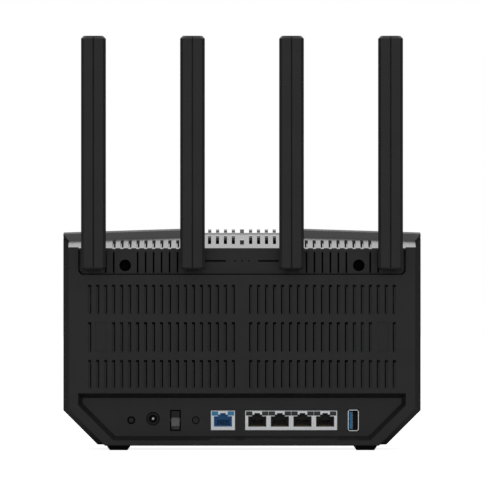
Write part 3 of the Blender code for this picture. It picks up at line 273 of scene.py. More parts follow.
# %% A node group for drawn scratches
def scratches(name, stretch):
    """Scratches that run along the axis with the smallest number in stretch."""
    group, inside, outside = new_group(name, (("Scratches per metre", 2600.0),), ("Height", "Mask"))
    lines = node_in(group, "ShaderNodeTexNoise", Detail=4.0, Roughness=0.6)
    group.links.new(object_coordinates(group, stretch), lines.inputs["Vector"])
    group.links.new(inside.outputs[0], lines.inputs["Scale"])
    group.links.new(lines.outputs["Fac"], outside.inputs["Height"])
    group.links.new(smooth_step(group, lines.outputs["Fac"], 0.35, 0.7), outside.inputs["Mask"])
    return group


scratches_across = scratches("scratches_across", (0.03, 1, 1))
scratches_upright = scratches("scratches_upright", (1, 1, 0.03))
print("groups:", scratches_across.name, scratches_upright.name)


# %% Helpers that put a group into a material
def group_in(tree, group, **values):
    """A copy of a node group in a material, with its own numbers."""
    node = tree.nodes.new("ShaderNodeGroup")
    node.node_tree = group
    for key, value in values.items():
        node.inputs[key.replace("_", " ")].default_value = value
    return node


def mixed_colour(tree, mask, first, second):
    """Two colours mixed by a mask."""
    node = node_in(tree, "ShaderNodeMix", data_type="RGBA")
    node.inputs[6].default_value = (*first, 1)
    node.inputs[7].default_value = (*second, 1)
    tree.links.new(mask, node.inputs[0])
    return node.outputs[2]


def between(tree, mask, low, high):
    """A number that goes from low to high with a mask."""
    node = node_in(tree, "ShaderNodeMapRange")
    node.inputs["To Min"].default_value = low
    node.inputs["To Max"].default_value = high
    tree.links.new(mask, node.inputs["Value"])
    return node.outputs["Result"]


def bumped(tree, shader, height, depth):
    """Turns a height into a relief of a given depth in metres."""
    bump = node_in(tree, "ShaderNodeBump", Strength=1.0, Distance=depth)
    tree.links.new(height, bump.inputs["Height"])
    tree.links.new(bump.outputs["Normal"], shader.inputs["Normal"])


def new_material(name):
    """An empty material, its node tree and its main shader."""
    material = bpy.data.materials.new(name)
    material.use_nodes = True
    return material, material.node_tree, material.node_tree.nodes["Principled BSDF"]


print("helpers ready")

# %% [markdown]
# ## Moulded plastics
#
# The casing, the antennas, the sockets and the switches are all moulded, but not in the same mould. Casing and
# antennas have a fine satin etch, sockets have a finer and duller one, and the roof is nearly polished. One recipe
# with different numbers keeps them related. The gloss is kept low when looked at squarely, and rises by itself at a
# grazing angle.


# %% Make the plastics
def plastic(name, dark, light, rough, grains, depth, gloss=0.35):
    """Moulded plastic: two close shades in slow clouds, and an etched grain that also roughens the gloss."""
    material, tree, shader = new_material(name)
    grain = group_in(tree, grain_group, Grains_per_metre=grains)
    tree.links.new(mixed_colour(tree, grain.outputs["Clouds"], dark, light), shader.inputs["Base Color"])
    tree.links.new(between(tree, grain.outputs["Mask"], *rough), shader.inputs["Roughness"])
    shader.inputs["Specular IOR Level"].default_value = gloss
    bumped(tree, shader, grain.outputs["Height"], depth)
    return material


def grey(level):
    """A neutral grey with a trace of blue, as carbon-black plastic has."""
    return (level, level, level * 1.03)


case_plastic = plastic("case_plastic", grey(0.0168), grey(0.0196), (0.34, 0.42), 3500, 0.00002)
roof_plastic = plastic("roof_plastic", grey(0.0120), grey(0.0145), (0.14, 0.20), 3500, 0.00001, 0.5)
antenna_plastic = plastic("antenna_plastic", grey(0.0168), grey(0.0196), (0.34, 0.42), 4200, 0.00002)
socket_plastic = plastic("socket_plastic", grey(0.0110), grey(0.0140), (0.40, 0.50), 6000, 0.00001, 0.25)
button_plastic = plastic("button_plastic", grey(0.0110), grey(0.0140), (0.38, 0.48), 5200, 0.00001)
rocker_plastic = plastic("rocker_plastic", grey(0.0100), grey(0.0120), (0.30, 0.38), 6000, 0.00001)
blue_plastic = plastic("blue_plastic", (0.014, 0.190, 0.420), (0.018, 0.225, 0.480), (0.28, 0.36), 6000, 0.00001, 0.5)
# Paler copies of the blue and the black socket plastic: painted light for the inserts deep in their sockets.
lit_wan_insert_plastic = plastic("lit_wan_insert_plastic", (0.026, 0.370, 0.780), (0.032, 0.420, 0.860), (0.28, 0.36), 6000, 0.00001, 0.5)
lit_lan_insert_plastic = plastic("lit_lan_insert_plastic", grey(0.0700), grey(0.0820), (0.40, 0.50), 6000, 0.00001, 0.25)
shade_liner_plastic = plastic("shade_liner_plastic", (0.022, 0.0050, 0.0050), (0.030, 0.0065, 0.0065), (0.40, 0.50), 6000, 0.00001)
ink_and_shade_black = plastic("ink_and_shade_black", grey(0.0020), grey(0.0030), (0.60, 0.75), 9000, 0.000005, 0.1)
print("plastics:", [m.name for m in bpy.data.materials if m.name.endswith("plastic")])

# %% [markdown]
# Two kinds of piece are not the same all over. The rocker's lower face is painted paler: a painted highlight that
# stands in for the light that face catches. The part of a button that lies inside the casing is painted nearly black:
# painted shade, where little light gets into the narrow gap, so the gap around it shows as a dark ring. Both follow
# the piece's own coordinates, so they move with it.


# %% Paint light or shade onto one side of a piece
def paint_light_or_shade_along(material, axis, low, high, dark, light, other_gloss):
    """Blends the colour and the gloss into others along an axis, from low to high in metres, as painted light or
    painted shade.
    """
    tree = material.node_tree
    shader = tree.nodes["Principled BSDF"]
    colour = shader.inputs["Base Color"].links[0].from_socket
    parts = node_in(tree, "ShaderNodeSeparateXYZ")
    tree.links.new(node_in(tree, "ShaderNodeTexCoord").outputs["Object"], parts.inputs[0])
    grain = group_in(tree, grain_group, Clouds_per_metre=300)
    other = mixed_colour(tree, grain.outputs["Clouds"], dark, light)
    node = node_in(tree, "ShaderNodeMix", data_type="RGBA")
    mask = smooth_step(tree, parts.outputs[axis], low, high)
    gloss = shader.inputs["Specular IOR Level"]
    tree.links.new(between(tree, mask, gloss.default_value, other_gloss), gloss)
    tree.links.new(mask, node.inputs[0])
    tree.links.new(colour, node.inputs[6])
    tree.links.new(other, node.inputs[7])
    tree.links.new(node.outputs[2], shader.inputs["Base Color"])


CREASE_ABOVE_MIDDLE = 0.0017
CREASE_BLUR = 0.0001
BUTTON_PAINTED_SHADE_FROM = 0.0006
BUTTON_PAINTED_SHADE_TO = 0.0016

# Painted highlight: the rocker's face below the crease is painted paler, standing in for the light that face catches.
rocker_low, rocker_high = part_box("power_rocker")
crease = (rocker_low.z + rocker_high.z) / 2 + CREASE_ABOVE_MIDDLE
paint_light_or_shade_along(rocker_plastic, "Z", crease + CREASE_BLUR, crease - CREASE_BLUR, grey(0.135), grey(0.155), 0.35)
# Painted shade: the part of each button inside the casing is painted nearly black, where little light gets into the
# gap.
button_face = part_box("reset_button")[0].y
painted_shade_from, painted_shade_to = button_face + BUTTON_PAINTED_SHADE_FROM, button_face + BUTTON_PAINTED_SHADE_TO
paint_light_or_shade_along(button_plastic, "Y", painted_shade_from, painted_shade_to, grey(0.0010), grey(0.0016), 0.0)

# %% [markdown]
# ## Rubber, lenses and cable jackets
#
# The feet are soft rubber with a dusty, mottled surface. The indicator lenses are frosted clear plastic. The antenna
# leads have a smooth extruded jacket, so their marks run along the cable rather than in grains.

# %% Make the rubber, the lens and the jacket
foot_rubber, tree, shader = new_material("foot_rubber")
grain = group_in(tree, grain_group, Grains_per_metre=1500, Clouds_per_metre=220)
tree.links.new(mixed_colour(tree, grain.outputs["Clouds"], grey(0.004), grey(0.009)), shader.inputs["Base Color"])
tree.links.new(between(tree, grain.outputs["Mask"], 0.75, 0.95), shader.inputs["Roughness"])
shader.inputs["Specular IOR Level"].default_value = 0.2
bumped(tree, shader, grain.outputs["Height"], 0.00004)

frosted_lens, tree, shader = new_material("frosted_lens")
grain = group_in(tree, grain_group, Grains_per_metre=9000, Clouds_per_metre=300)
tree.links.new(
    mixed_colour(tree, grain.outputs["Clouds"], (0.62, 0.66, 0.68), (0.72, 0.76, 0.78)), shader.inputs["Base Color"]
)
tree.links.new(between(tree, grain.outputs["Mask"], 0.25, 0.4), shader.inputs["Roughness"])
shader.inputs["Subsurface Weight"].default_value = 0.3
shader.inputs["Subsurface Radius"].default_value = (0.002, 0.002, 0.002)
bumped(tree, shader, grain.outputs["Height"], 0.00001)

lead_jacket, tree, shader = new_material("lead_jacket")
streaks = group_in(tree, scratches_upright, Scratches_per_metre=900)
tree.links.new(mixed_colour(tree, streaks.outputs["Mask"], grey(0.055), grey(0.075)), shader.inputs["Base Color"])
tree.links.new(between(tree, streaks.outputs["Mask"], 0.35, 0.5), shader.inputs["Roughness"])
bumped(tree, shader, streaks.outputs["Height"], 0.00002)
print("materials so far:", len(bpy.data.materials))

# %% [markdown]
# ## Metals
#
# Socket shields are tin-plated steel, rolled before it is stamped: bright, but with soft streaks. Screws and pins
# are plated the same way but turned. The heat sink is extruded aluminium, anodised black so that it doesn't show
# through the vents, and its streaks run upright along its fins. The screws in the wells are black, and painted darker
# still as painted shade for the bottom of the deep wells. Contacts are plated with gold, bright on the tongue of the
# USB socket; deep inside the network sockets they are painted dark, as painted shade where little light reaches.


# %% Make the metals
def metal(name, dull, bright, rough, group, count, depth):
    """A bare metal with drawn scratches that change its colour and its gloss together."""
    material, tree, shader = new_material(name)
    lines = group_in(tree, group, Scratches_per_metre=count)
    cloudy = group_in(tree, grain_group, Clouds_per_metre=160)
    mask = maths(tree, "MULTIPLY", lines.outputs["Mask"], cloudy.outputs["Clouds"])
    tree.links.new(mixed_colour(tree, mask, dull, bright), shader.inputs["Base Color"])
    tree.links.new(between(tree, mask, *rough), shader.inputs["Roughness"])
    shader.inputs["Metallic"].default_value = 1.0
    bumped(tree, shader, lines.outputs["Height"], depth)
    return material


tin_plate = metal("tin_plate", (0.80, 0.82, 0.84), (0.93, 0.94, 0.95), (0.34, 0.22), scratches_across, 3000, 0.000006)
plated_steel = metal(
    "plated_steel", (0.50, 0.50, 0.51), (0.64, 0.64, 0.65), (0.38, 0.26), scratches_across, 5000, 0.000006
)
black_aluminium = metal(
    "black_aluminium", (0.010, 0.010, 0.011), (0.018, 0.018, 0.019), (0.6, 0.45), scratches_upright, 2600, 0.00001
)
# Black steel painted darker still: painted shade for the screws at the bottom of the deep wells.
black_steel_and_shade = metal(
    "black_steel_and_shade", (0.008, 0.008, 0.009), (0.016, 0.016, 0.017), (0.6, 0.5), scratches_across, 5000, 0.000006
)
gold_plate = metal("gold_plate", (0.72, 0.46, 0.14), (0.86, 0.60, 0.24), (0.3, 0.2), scratches_upright, 6000, 0.000004)
# A darker copy of the gold plate: painted shade for the contacts deep inside the network sockets.
gold_in_painted_shade = metal(
    "gold_in_painted_shade", (0.200, 0.160, 0.090), (0.280, 0.220, 0.130), (0.55, 0.45), scratches_upright, 6000, 0.000004
)
print("metals:", [m.name for m in (tin_plate, plated_steel, black_aluminium, black_steel_and_shade, gold_plate, gold_in_painted_shade)])

# %% [markdown]
# ## Circuit board
#
# The board is glass cloth and resin under a green solder mask. Copper tracks run under the mask and show as paler
# green lines with square corners, which a brick texture gives. They are also a very fine relief.

# %% Make the board's finish
circuit_board, tree, shader = new_material("circuit_board")
grain = group_in(tree, grain_group, Clouds_per_metre=120)
turned = node_in(tree, "ShaderNodeMapping", Rotation=(math.radians(90), 0, 0))
tree.links.new(node_in(tree, "ShaderNodeTexCoord").outputs["Object"], turned.inputs["Vector"])
tracks = node_in(tree, "ShaderNodeTexBrick", Scale=140.0)
tracks.inputs["Mortar Size"].default_value = 0.045
tracks.inputs["Mortar Smooth"].default_value = 0.1
tree.links.new(turned.outputs["Vector"], tracks.inputs["Vector"])
masked = mixed_colour(tree, tracks.outputs["Fac"], (0.006, 0.050, 0.022), (0.014, 0.100, 0.046))
tree.links.new(masked, shader.inputs["Base Color"])
tree.links.new(between(tree, grain.outputs["Clouds"], 0.25, 0.4), shader.inputs["Roughness"])
bumped(tree, shader, tracks.outputs["Fac"], 0.00003)
print("board finish:", circuit_board.name)

# %% [markdown]
# ## Give every solid its finish
#
# The record of the router says which solids share a material. The finish goes into each solid's own slot, so the
# shape isn't touched. Three solids differ a little from the rest of their group: the roof has more gloss, and the
# inserts of the blue and the black sockets are painted paler than the other pieces of their colour, as painted
# light that stands in for the light reaching into the sockets.

# %% Finish by material slot
FINISHES = {
    "case": case_plastic,
    "antenna": antenna_plastic,
    "rubber": foot_rubber,
    "shield": tin_plate,
    "steel": plated_steel,
    "sink": black_aluminium,
    "board": circuit_board,
    "blue": blue_plastic,
    "socket": socket_plastic,
    "button": button_plastic,
    "rocker": rocker_plastic,
    "lens": frosted_lens,
    "lead": lead_jacket,
}
slot_of = {part["node"]: part["material_slot"] for part in frame["record"]["subparts"]}
for name, solid in frame["nodes"].items():
    solid.data.materials.clear()
    solid.data.materials.append(FINISHES[slot_of[name]])
# Painted light: the socket inserts take paler copies of their plastics.
OWN_FINISHES = {"roof_cover": roof_plastic, "wan_jack_insert": lit_wan_insert_plastic, "lan_jack_insert": lit_lan_insert_plastic}
for name, finish in OWN_FINISHES.items():
    frame["nodes"][name].data.materials[0] = finish
print("finished solids:", len(slot_of))

# %% [markdown]
# ## Moulded edges
#
# A drawn solid has knife edges, but no mould makes them: every edge of a plastic piece is rounded by a few tenths of
# a millimetre, and that thin round catches the light as a bright line. It could be faked in the shader, but real
# geometry also works close up. So the antennas' shells and the front cover, whose edges show most, are copied. The
# loose triangles of each copy are merged and joined into flat faces again, and a Bevel modifier rounds its edges.
# The copy then stands for the solid.


# %% Helpers that round the edges of a copy
def only(piece):
    """Makes one object the selected and active one."""
    deselect_all()
    piece.select_set(True)
    bpy.context.view_layer.objects.active = piece


def modified(piece, kind, **settings):
    """Gives a piece one modifier with its settings, and applies it."""
    only(piece)
    modifier = piece.modifiers.new(kind.lower(), kind)
    for key, value in settings.items():
        setattr(modifier, key, value)
    bpy.ops.object.modifier_apply(modifier=modifier.name)
    return piece


def body_of(node):
    """The moving body that a solid belongs to."""
    return frame["nodes"][node]["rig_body"]


MERGE_DISTANCE = 0.000002
FLAT_ANGLE = math.radians(1)


def rounded_copy(node, width, edge_angle, smooth_angle):
    """A copy of a solid with its sharper edges rounded by width metres; the angles are in degrees."""
    source = frame["nodes"][node]
    piece = source.copy()
    piece.data = source.data.copy()
    piece.parent = None
    for key in [k for k in piece.keys() if k.startswith("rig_")]:
        del piece[key]
    piece.name = node + "_moulded"
    scene.collection.objects.link(piece)
    only(piece)
    bpy.ops.object.mode_set(mode="EDIT")
    bpy.ops.mesh.select_all(action="SELECT")
    bpy.ops.mesh.remove_doubles(threshold=MERGE_DISTANCE)
    bpy.ops.mesh.dissolve_limited(angle_limit=FLAT_ANGLE)
    bpy.ops.object.mode_set(mode="OBJECT")
    bpy.ops.object.shade_smooth_by_angle(angle=math.radians(smooth_angle))
    modified(
        piece, "BEVEL", width=width, segments=2, limit_method="ANGLE", angle_limit=math.radians(edge_angle),
        use_clamp_overlap=True, harden_normals=True, miter_outer="MITER_ARC",
    )
    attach(piece, body_of(node))
    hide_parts(node)
    return piece


print("helpers ready: only, modified, body_of, rounded_copy")

# %% Round the antennas and the front cover
ANTENNA_ROUND = 0.00025
COVER_ROUND = 0.0006

rounded = []
for place_name in PLACES:
    rounded.append(rounded_copy("antenna_rear_shell_" + place_name, ANTENNA_ROUND, edge_angle=20, smooth_angle=4))
    rounded.append(rounded_copy("antenna_front_shell_" + place_name, ANTENNA_ROUND, edge_angle=20, smooth_angle=12))
rounded.append(rounded_copy("front_cover", COVER_ROUND, edge_angle=15, smooth_angle=12))
for piece in rounded:
    print(piece.name, "triangles:", sum(len(p.vertices) - 2 for p in piece.data.polygons))

# %% [markdown]
# ## Socket contacts
#
# A network socket holds eight gold-plated springs. Each is a flat wire that comes up through the floor near the
# mouth and slants up and back to the far wall of the cavity. It could be a curve with a bevel, but a strip whose end
# face is extruded along a few points keeps crisp edges and few faces. One wire is made, then copied for every place.


# %% A helper for a flat wire
def flat_wire(name, points, width, thickness):
    """A flat wire, wide along X, whose first face is extruded from point to point."""
    deselect_all()
    bpy.ops.mesh.primitive_plane_add(size=1, location=points[0], rotation=(math.radians(90), 0, 0))
    piece = bpy.context.object
    piece.name = name
    piece.scale = (width, thickness, 1)
    bpy.ops.object.transform_apply(location=True, rotation=True, scale=True)
    bpy.ops.object.mode_set(mode="EDIT")
    bpy.ops.mesh.select_all(action="SELECT")
    for before, after in zip(points, points[1:]):
        step = Vector(after) - Vector(before)
        bpy.ops.mesh.extrude_region_move(TRANSFORM_OT_translate={"value": step})
    bpy.ops.mesh.select_all(action="SELECT")
    bpy.ops.mesh.normals_make_consistent(inside=False)
    bpy.ops.object.mode_set(mode="OBJECT")
    return piece


def copied(piece, name, offset):
    """A copy with its own mesh, moved within its mesh."""
    twin = piece.copy()
    twin.data = piece.data.copy()
    twin.data.transform(Matrix.Translation(offset))
    twin.name = name
    scene.collection.objects.link(twin)
    return twin


def joined(pieces, name):
    """Several objects made one, under a plain name."""
    deselect_all()
    for piece in pieces:
        piece.select_set(True)
    bpy.context.view_layer.objects.active = pieces[0]
    bpy.ops.object.join()
    pieces[0].name = name
    return pieces[0]


def finish_piece(piece, material, body):
    """The finish, the body that the piece moves with, and the slot it takes its finish from."""
    piece.data.materials.clear()
    piece.data.materials.append(material)
    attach(piece, body)
    return piece


print("helpers ready: flat_wire, copied, joined, finish_piece")

# %% Eight contacts in every network socket
CONTACT_PITCH = 0.00102
CONTACT_WIDTH = 0.00042
CONTACT_THICKNESS = 0.0002
CONTACT_COUNT = 8
LAN_PITCH = 0.01473
LAN_COUNT = 4
SOCKET_FLOOR = 0.0156

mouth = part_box("lan_jack_insert")[0].y
lan_low, lan_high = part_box("lan_jack_shield")
wan_low, wan_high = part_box("wan_jack_shield")
lan_middle = (lan_low.x + lan_high.x) / 2
socket_middles = [(wan_low.x + wan_high.x) / 2]
for i in range(LAN_COUNT):
    socket_middles.append(lan_middle + (i - (LAN_COUNT - 1) / 2) * LAN_PITCH)
# Each point of a wire is given by how far it lies behind the mouth and above the floor of the socket.
route = [
    (0, mouth + 0.0022, SOCKET_FLOOR - 0.0003),
    (0, mouth + 0.0024, SOCKET_FLOOR + 0.0004),
    (0, mouth + 0.0030, SOCKET_FLOOR + 0.0009),
    (0, mouth + 0.0102, SOCKET_FLOOR + 0.0040),
]
first_wire = flat_wire("contact", route, CONTACT_WIDTH, CONTACT_THICKNESS)
# The contacts take the darker gold, painted shade deep inside the sockets.
for number, middle in enumerate(socket_middles):
    row = []
    for k in range(CONTACT_COUNT):
        offset = middle + (k - (CONTACT_COUNT - 1) / 2) * CONTACT_PITCH
        row.append(copied(first_wire, "contact", (offset, 0, 0)))
    finish_piece(joined(row, f"socket_contacts_{number}"), gold_in_painted_shade, "root")
bpy.data.objects.remove(first_wire)
print("rows of contacts:", len(socket_middles))

# %% [markdown]
# ## Socket lamps
#
# Over each network socket there are two lamps, seen as small windows in the shield's upper corners. Each is a light
# guide: a tinted bar that fills its window and is very slightly domed. The blue socket's guides are blue as well.


# %% Helpers for a box and its rear face
def box_piece(name, middle, size):
    """A box about its middle, with its place and its size in its mesh."""
    deselect_all()
    bpy.ops.mesh.primitive_cube_add(size=1, location=middle)
    piece = bpy.context.object
    piece.name = name
    piece.scale = size
    bpy.ops.object.transform_apply(location=True, rotation=True, scale=True)
    return piece


def edit_rear_face(piece):
    """Opens a box in edit mode with only the face selected that looks to the rear."""
    bpy.ops.object.mode_set(mode="EDIT")
    bpy.ops.mesh.select_all(action="DESELECT")
    bpy.ops.object.mode_set(mode="OBJECT")
    for face in piece.data.polygons:
        face.select = face.normal.y < -0.9
    bpy.ops.object.mode_set(mode="EDIT")


print("helpers ready: box_piece, edit_rear_face")

# %% Light guides in the shields' windows
LAMP_SIZE = (0.0042, 0.0005, 0.0027)
LAMP_FROM_MIDDLE = 0.0052
LAMP_DOME = 0.00008
LAMP_DOME_INSET = 0.22 * LAMP_SIZE[2]
LAMP_ROUND = 0.00012
SHIELD_WALL = 0.0004
LAMP_UNDER_WALL = 0.00145
LAMP_BEHIND_FACE = 0.00018
lamp_height = lan_high.z - SHIELD_WALL - LAMP_UNDER_WALL
lamp_depth = lan_low.y + LAMP_BEHIND_FACE


def light_guide(middle):
    """A bar whose rear face is inset and pushed out a little, with its edges rounded."""
    piece = box_piece("lamp", middle, LAMP_SIZE)
    edit_rear_face(piece)
    bpy.ops.mesh.inset(thickness=LAMP_DOME_INSET, depth=0)
    bpy.ops.transform.translate(value=(0, -LAMP_DOME, 0))
    bpy.ops.object.mode_set(mode="OBJECT")
    return modified(piece, "BEVEL", width=LAMP_ROUND, segments=2)


def lamp_pair(number, middle):
    """The two light guides over one socket."""
    pair = [light_guide((middle + side * LAMP_FROM_MIDDLE, lamp_depth, lamp_height)) for side in (-1, 1)]
    return joined(pair, f"socket_lamps_{number}")


def clear_guide(name, colour, dark_colour):
    """Tinted plastic with a fine frost, as a light guide looks when it isn't lit."""
    material, tree, shader = new_material(name)
    grain = group_in(tree, grain_group, Grains_per_metre=8000, Clouds_per_metre=400)
    tree.links.new(mixed_colour(tree, grain.outputs["Clouds"], dark_colour, colour), shader.inputs["Base Color"])
    tree.links.new(between(tree, grain.outputs["Mask"], 0.15, 0.3), shader.inputs["Roughness"])
    bumped(tree, shader, grain.outputs["Height"], 0.000004)
    return material


blue_guide = clear_guide("blue_guide", (0.040, 0.330, 0.640), (0.030, 0.260, 0.540))
smoked_guide = clear_guide("smoked_guide", grey(0.030), grey(0.020))
for number, middle in enumerate(socket_middles):
    guide = blue_guide if number == 0 else smoked_guide
    finish_piece(lamp_pair(number, middle), guide, "root")
print("pairs of light guides:", len(socket_middles))

# %% [markdown]
# ## Screws in the deep wells
#
# Two black screws at the bottoms of the wells hold the antenna panel. A pan head starts as a short cylinder: its
# edge is bevelled round, and the cross is sunk into it with two Booleans. Each cutter is a bar with a tapered far
# end, so the cross gets narrower as it goes down.


# %% Cross-head screws
HEAD_HEIGHT = 0.0018
HEAD_ROUND = 0.0005
SHANK_RADIUS = 0.00128
CROSS_REACH = 0.62
CROSS_WIDTH = 0.0007
CROSS_DEPTH = 0.0011
CROSS_TAPER = 0.45


def cross_cutter(middle, reach):
    """Two crossed bars whose far ends are scaled down, as a screwdriver's tip is."""
    bars = []
    for across, upright in ((reach * 2, CROSS_WIDTH), (CROSS_WIDTH, reach * 2)):
        bar = box_piece("cutter", middle, (across, CROSS_DEPTH * 2, upright))
        for vertex in bar.data.vertices:
            if vertex.co.y > middle.y:
                vertex.co.x = middle.x + (vertex.co.x - middle.x) * CROSS_TAPER
                vertex.co.z = middle.z + (vertex.co.z - middle.z) * CROSS_TAPER
        bars.append(bar)
    return bars


def rod(vertices, radius, length, start):
    """A cylinder that runs away from the camera, from the middle of the end that shows."""
    deselect_all()
    bpy.ops.mesh.primitive_cylinder_add(
        vertices=vertices, radius=radius, depth=length, location=(start.x, start.y + length / 2, start.z),
        rotation=(math.radians(90), 0, 0),
    )
    bpy.ops.object.transform_apply(location=True, rotation=True, scale=True)
    return bpy.context.object


def screw_head(name, node):
    """A pan head in place of a plain one, with its shank, seen down a well."""
    low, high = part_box(node)
    face = Vector(((low.x + high.x) / 2, low.y, (low.z + high.z) / 2))
    radius = (high.x - low.x) / 2
    head = rod(40, radius, HEAD_HEIGHT, face)
    modified(head, "BEVEL", width=HEAD_ROUND, segments=3, limit_method="ANGLE", angle_limit=math.radians(60))
    for bar in cross_cutter(face, radius * CROSS_REACH):
        modified(head, "BOOLEAN", object=bar, operation="DIFFERENCE", solver="EXACT")
        bpy.data.objects.remove(bar)
    shank_start = face + Vector((0, HEAD_HEIGHT, 0))
    shank = rod(24, SHANK_RADIUS, high.y - shank_start.y, shank_start)
    piece = joined([head, shank], name)
    bpy.ops.object.shade_smooth_by_angle(angle=math.radians(30))
    finish_piece(piece, black_steel_and_shade, "root")
    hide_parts(node)
    return piece


for side in ("left", "right"):
    made = screw_head("well_screw_" + side, "panel_screw_" + side)
    print(made.name, "faces:", len(made.data.polygons))

# %% [markdown]
# Around each head lies a black ring that fills the bottom of the well. It is painted shade: it stands in for the
# shadow at the bottom of the deep well, so the well looks black all the way down. A flat ring is extruded outwards
# from a circle and given thickness by a Solidify modifier.


# %% Painted shade rings in the wells
SHADE_RING_INNER = 0.00276
SHADE_RING_OUTER = 0.00378
SHADE_RING_THICKNESS = 0.0003
SHADE_RING_BEHIND_FACE = 0.0016


def shade_ring(name, node):
    """A flat black ring around a screw's head, on the floor of its well, as painted shade."""
    low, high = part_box(node)
    middle = ((low.x + high.x) / 2, low.y + SHADE_RING_BEHIND_FACE, (low.z + high.z) / 2)
    deselect_all()
    bpy.ops.mesh.primitive_circle_add(
        vertices=48, radius=SHADE_RING_INNER, location=middle, rotation=(math.radians(90), 0, 0)
    )
    ring = bpy.context.object
    ring.name = name
    bpy.ops.object.mode_set(mode="EDIT")
    bpy.ops.mesh.extrude_edges_move()
    bpy.ops.transform.resize(value=(SHADE_RING_OUTER / SHADE_RING_INNER,) * 3)
    bpy.ops.object.mode_set(mode="OBJECT")
    bpy.ops.object.transform_apply(location=True, rotation=True, scale=True)
    modified(ring, "SOLIDIFY", thickness=SHADE_RING_THICKNESS, offset=0)
    modified(ring, "BEVEL", width=SHADE_RING_THICKNESS / 4)
    return finish_piece(ring, foot_rubber, "root")


shade_rings = [shade_ring("well_shade_ring_" + side, "panel_screw_" + side) for side in ("left", "right")]
print("washers in the wells:", len(shade_rings))

# %% [markdown]
# ## Painted shadow strip around the antenna panel
#
# Where the panel runs behind the rear wall a thin black strip fills the corner. It is painted shade: it stands in for
# the shadow in the gap there, and shows as a dark line along the bottom and the ends of the recess. It is a ribbon
# that follows the outline of the window: the outline is given once, its second edge is the same outline moved
# inwards, and Solidify gives the ribbon its thickness.

# %% Make the painted shadow strip
SHADOW_STRIP_WIDTH = 0.0007
SHADOW_STRIP_CORNER = 0.0020
SHADOW_STRIP_THICKNESS = 0.0003
SHADOW_STRIP_TOP = 0.1300
SHADOW_STRIP_PROUD = 0.0001
THIN_ROUND = 0.00008
PANEL_LAP = 0.0021
PANEL_RECESS = 0.0040

panel_low, panel_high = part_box("antenna_panel")
panel_face = rear_wall + PANEL_RECESS
end = panel_high.x - PANEL_LAP
bottom = panel_low.z + PANEL_LAP
path = [(-end, SHADOW_STRIP_TOP), (-end, bottom + SHADOW_STRIP_CORNER), (-end + SHADOW_STRIP_CORNER, bottom)]
path += [(-x, z) for x, z in path[::-1]]
inner = [(x - math.copysign(SHADOW_STRIP_WIDTH, x), z + (SHADOW_STRIP_WIDTH if z < SHADOW_STRIP_TOP else 0)) for x, z in path]
shadow_strip_mesh = bpy.data.meshes.new("panel_shadow_strip")
shadow_strip_mesh.from_pydata(
    [(x, panel_face - SHADOW_STRIP_PROUD, z) for x, z in path + inner],
    [],
    [(k, k + 1, k + 1 + len(path), k + len(path)) for k in range(len(path) - 1)],
)
shadow_strip = bpy.data.objects.new("panel_shadow_strip", shadow_strip_mesh)
scene.collection.objects.link(shadow_strip)
modified(shadow_strip, "SOLIDIFY", thickness=SHADOW_STRIP_THICKNESS, offset=0)
modified(shadow_strip, "BEVEL", width=THIN_ROUND, limit_method="ANGLE")
finish_piece(shadow_strip, ink_and_shade_black, "root")
print("seal faces:", len(shadow_strip.data.polygons))

# %% [markdown]
# ## Ink in the engraving
#
# The two engraved lines and the dots between them are filled with black ink to just under the surface. Each filling
# is a bar with rounded edges that fits loosely into its groove. A dot is a short bar, rounded almost to a circle.

# %% Fill the engraving
ENGRAVING_HEIGHT = 0.1232
LINE_START = 0.0105
LINE_END = 0.0240
DOT_SPACING = 0.0045
INK_WIDTH = 0.00112
INK_DEPTH = 0.0005
INK_SUNK = 0.0002
INK_PLAY = 0.0001
LINE_ROUND = 0.0001
DOT_ROUND = 0.00048


def weigh_upright_edges(bar):
    """Marks the four edges that run into the panel, so that only these are rounded."""
    weights = bar.data.attributes.new("bevel_weight_edge", "FLOAT", "EDGE")
    for edge in bar.data.edges:
        first, second = (bar.data.vertices[v].co for v in edge.vertices)
        weights.data[edge.index].value = float(abs(first.y - second.y) > INK_DEPTH / 2)


def filling(x, length):
    """A bar of ink as long as its groove, less a little play."""
    middle = (x, panel_face + INK_SUNK + INK_DEPTH / 2, ENGRAVING_HEIGHT)
    return box_piece("filling", middle, (length - INK_PLAY, INK_DEPTH, INK_WIDTH))


fillings = []
for side in (-1, 1):
    bar = filling(side * (LINE_START + LINE_END) / 2, LINE_END - LINE_START)
    fillings.append(modified(bar, "BEVEL", width=LINE_ROUND, segments=3))
for x in (-DOT_SPACING, 0.0, DOT_SPACING):
    dot = filling(x, INK_WIDTH)
    weigh_upright_edges(dot)
    fillings.append(modified(dot, "BEVEL", width=DOT_ROUND, segments=3, limit_method="WEIGHT"))
print("fillings:", len(fillings))
finish_piece(joined(fillings, "engraving_ink"), ink_and_shade_black, "root")

# %% [markdown]
# ## USB contacts
#
# The tongue of the USB socket carries flat gold strips on the side that faces the open space. The four wide ones
# near the mouth are for slow plugs, and the five narrow ones behind them are for fast plugs.

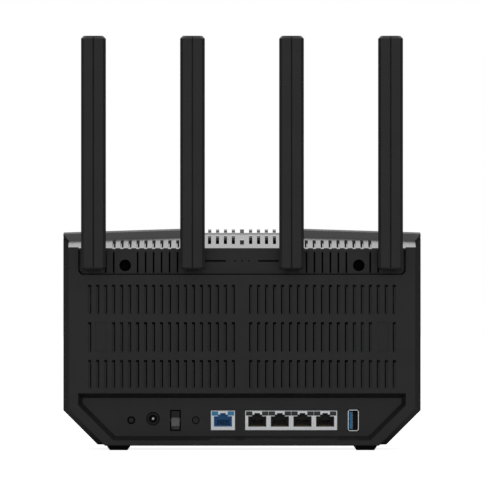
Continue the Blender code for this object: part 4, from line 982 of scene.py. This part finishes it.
# %% Strips on the USB tongue
STRIP_PITCH = 0.0022
STRIP_THICKNESS = 0.0002
STRIP_PROUD = 0.00003
STRIP_ROUND = 0.00006
WIDE_STRIPS = {"count": 4, "start": 0.0012, "length": 0.0065, "width": 0.0010}
NARROW_STRIPS = {"count": 5, "start": 0.0088, "length": 0.0035, "width": 0.0007}

tongue_low, tongue_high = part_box("usb_tongue")


def strip_row(count, start, length, width):
    """Strips side by side on the tongue, from start metres behind its tip."""
    row = []
    for k in range(count):
        height = (tongue_low.z + tongue_high.z) / 2 + (k - (count - 1) / 2) * STRIP_PITCH
        middle = (tongue_high.x + STRIP_PROUD, tongue_low.y + start + length / 2, height)
        strip = box_piece("strip", middle, (STRIP_THICKNESS, length, width))
        row.append(modified(strip, "BEVEL", width=STRIP_ROUND, segments=2))
    return row


strips = strip_row(**WIDE_STRIPS) + strip_row(**NARROW_STRIPS)
print("strips on the tongue:", len(strips))
finish_piece(joined(strips, "usb_contacts"), gold_plate, "root")

# %% [markdown]
# A dark reddish liner covers the inside of the USB shell, a little behind its mouth. It is painted shade: it stands in
# for the shadow inside the metal shell, so the inside looks dark. It starts as a box without the face at the mouth,
# and
# Solidify gives its walls their thickness.

# %% Painted shade liner of the USB socket
USB_SHELL_WALL = 0.0005
LINER_PLAY = 0.0001
LINER_FROM_MOUTH = 0.0009
LINER_FROM_BACK = 0.0030
LINER_THICKNESS = 0.0003

shell_low, shell_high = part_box("usb_shell")
side_gap = USB_SHELL_WALL + LINER_PLAY
inner_low = shell_low + Vector((side_gap, LINER_FROM_MOUTH, side_gap))
inner_high = shell_high - Vector((side_gap, LINER_FROM_BACK, side_gap))
shade_liner = box_piece("usb_shade_liner", (inner_low + inner_high) / 2, inner_high - inner_low)
edit_rear_face(shade_liner)
bpy.ops.mesh.delete(type="ONLY_FACE")
bpy.ops.object.mode_set(mode="OBJECT")
modified(shade_liner, "SOLIDIFY", thickness=LINER_THICKNESS, offset=-1)
modified(shade_liner, "BEVEL", width=THIN_ROUND, limit_method="ANGLE")
finish_piece(shade_liner, shade_liner_plastic, "root")
print("liner faces:", len(shade_liner.data.polygons))
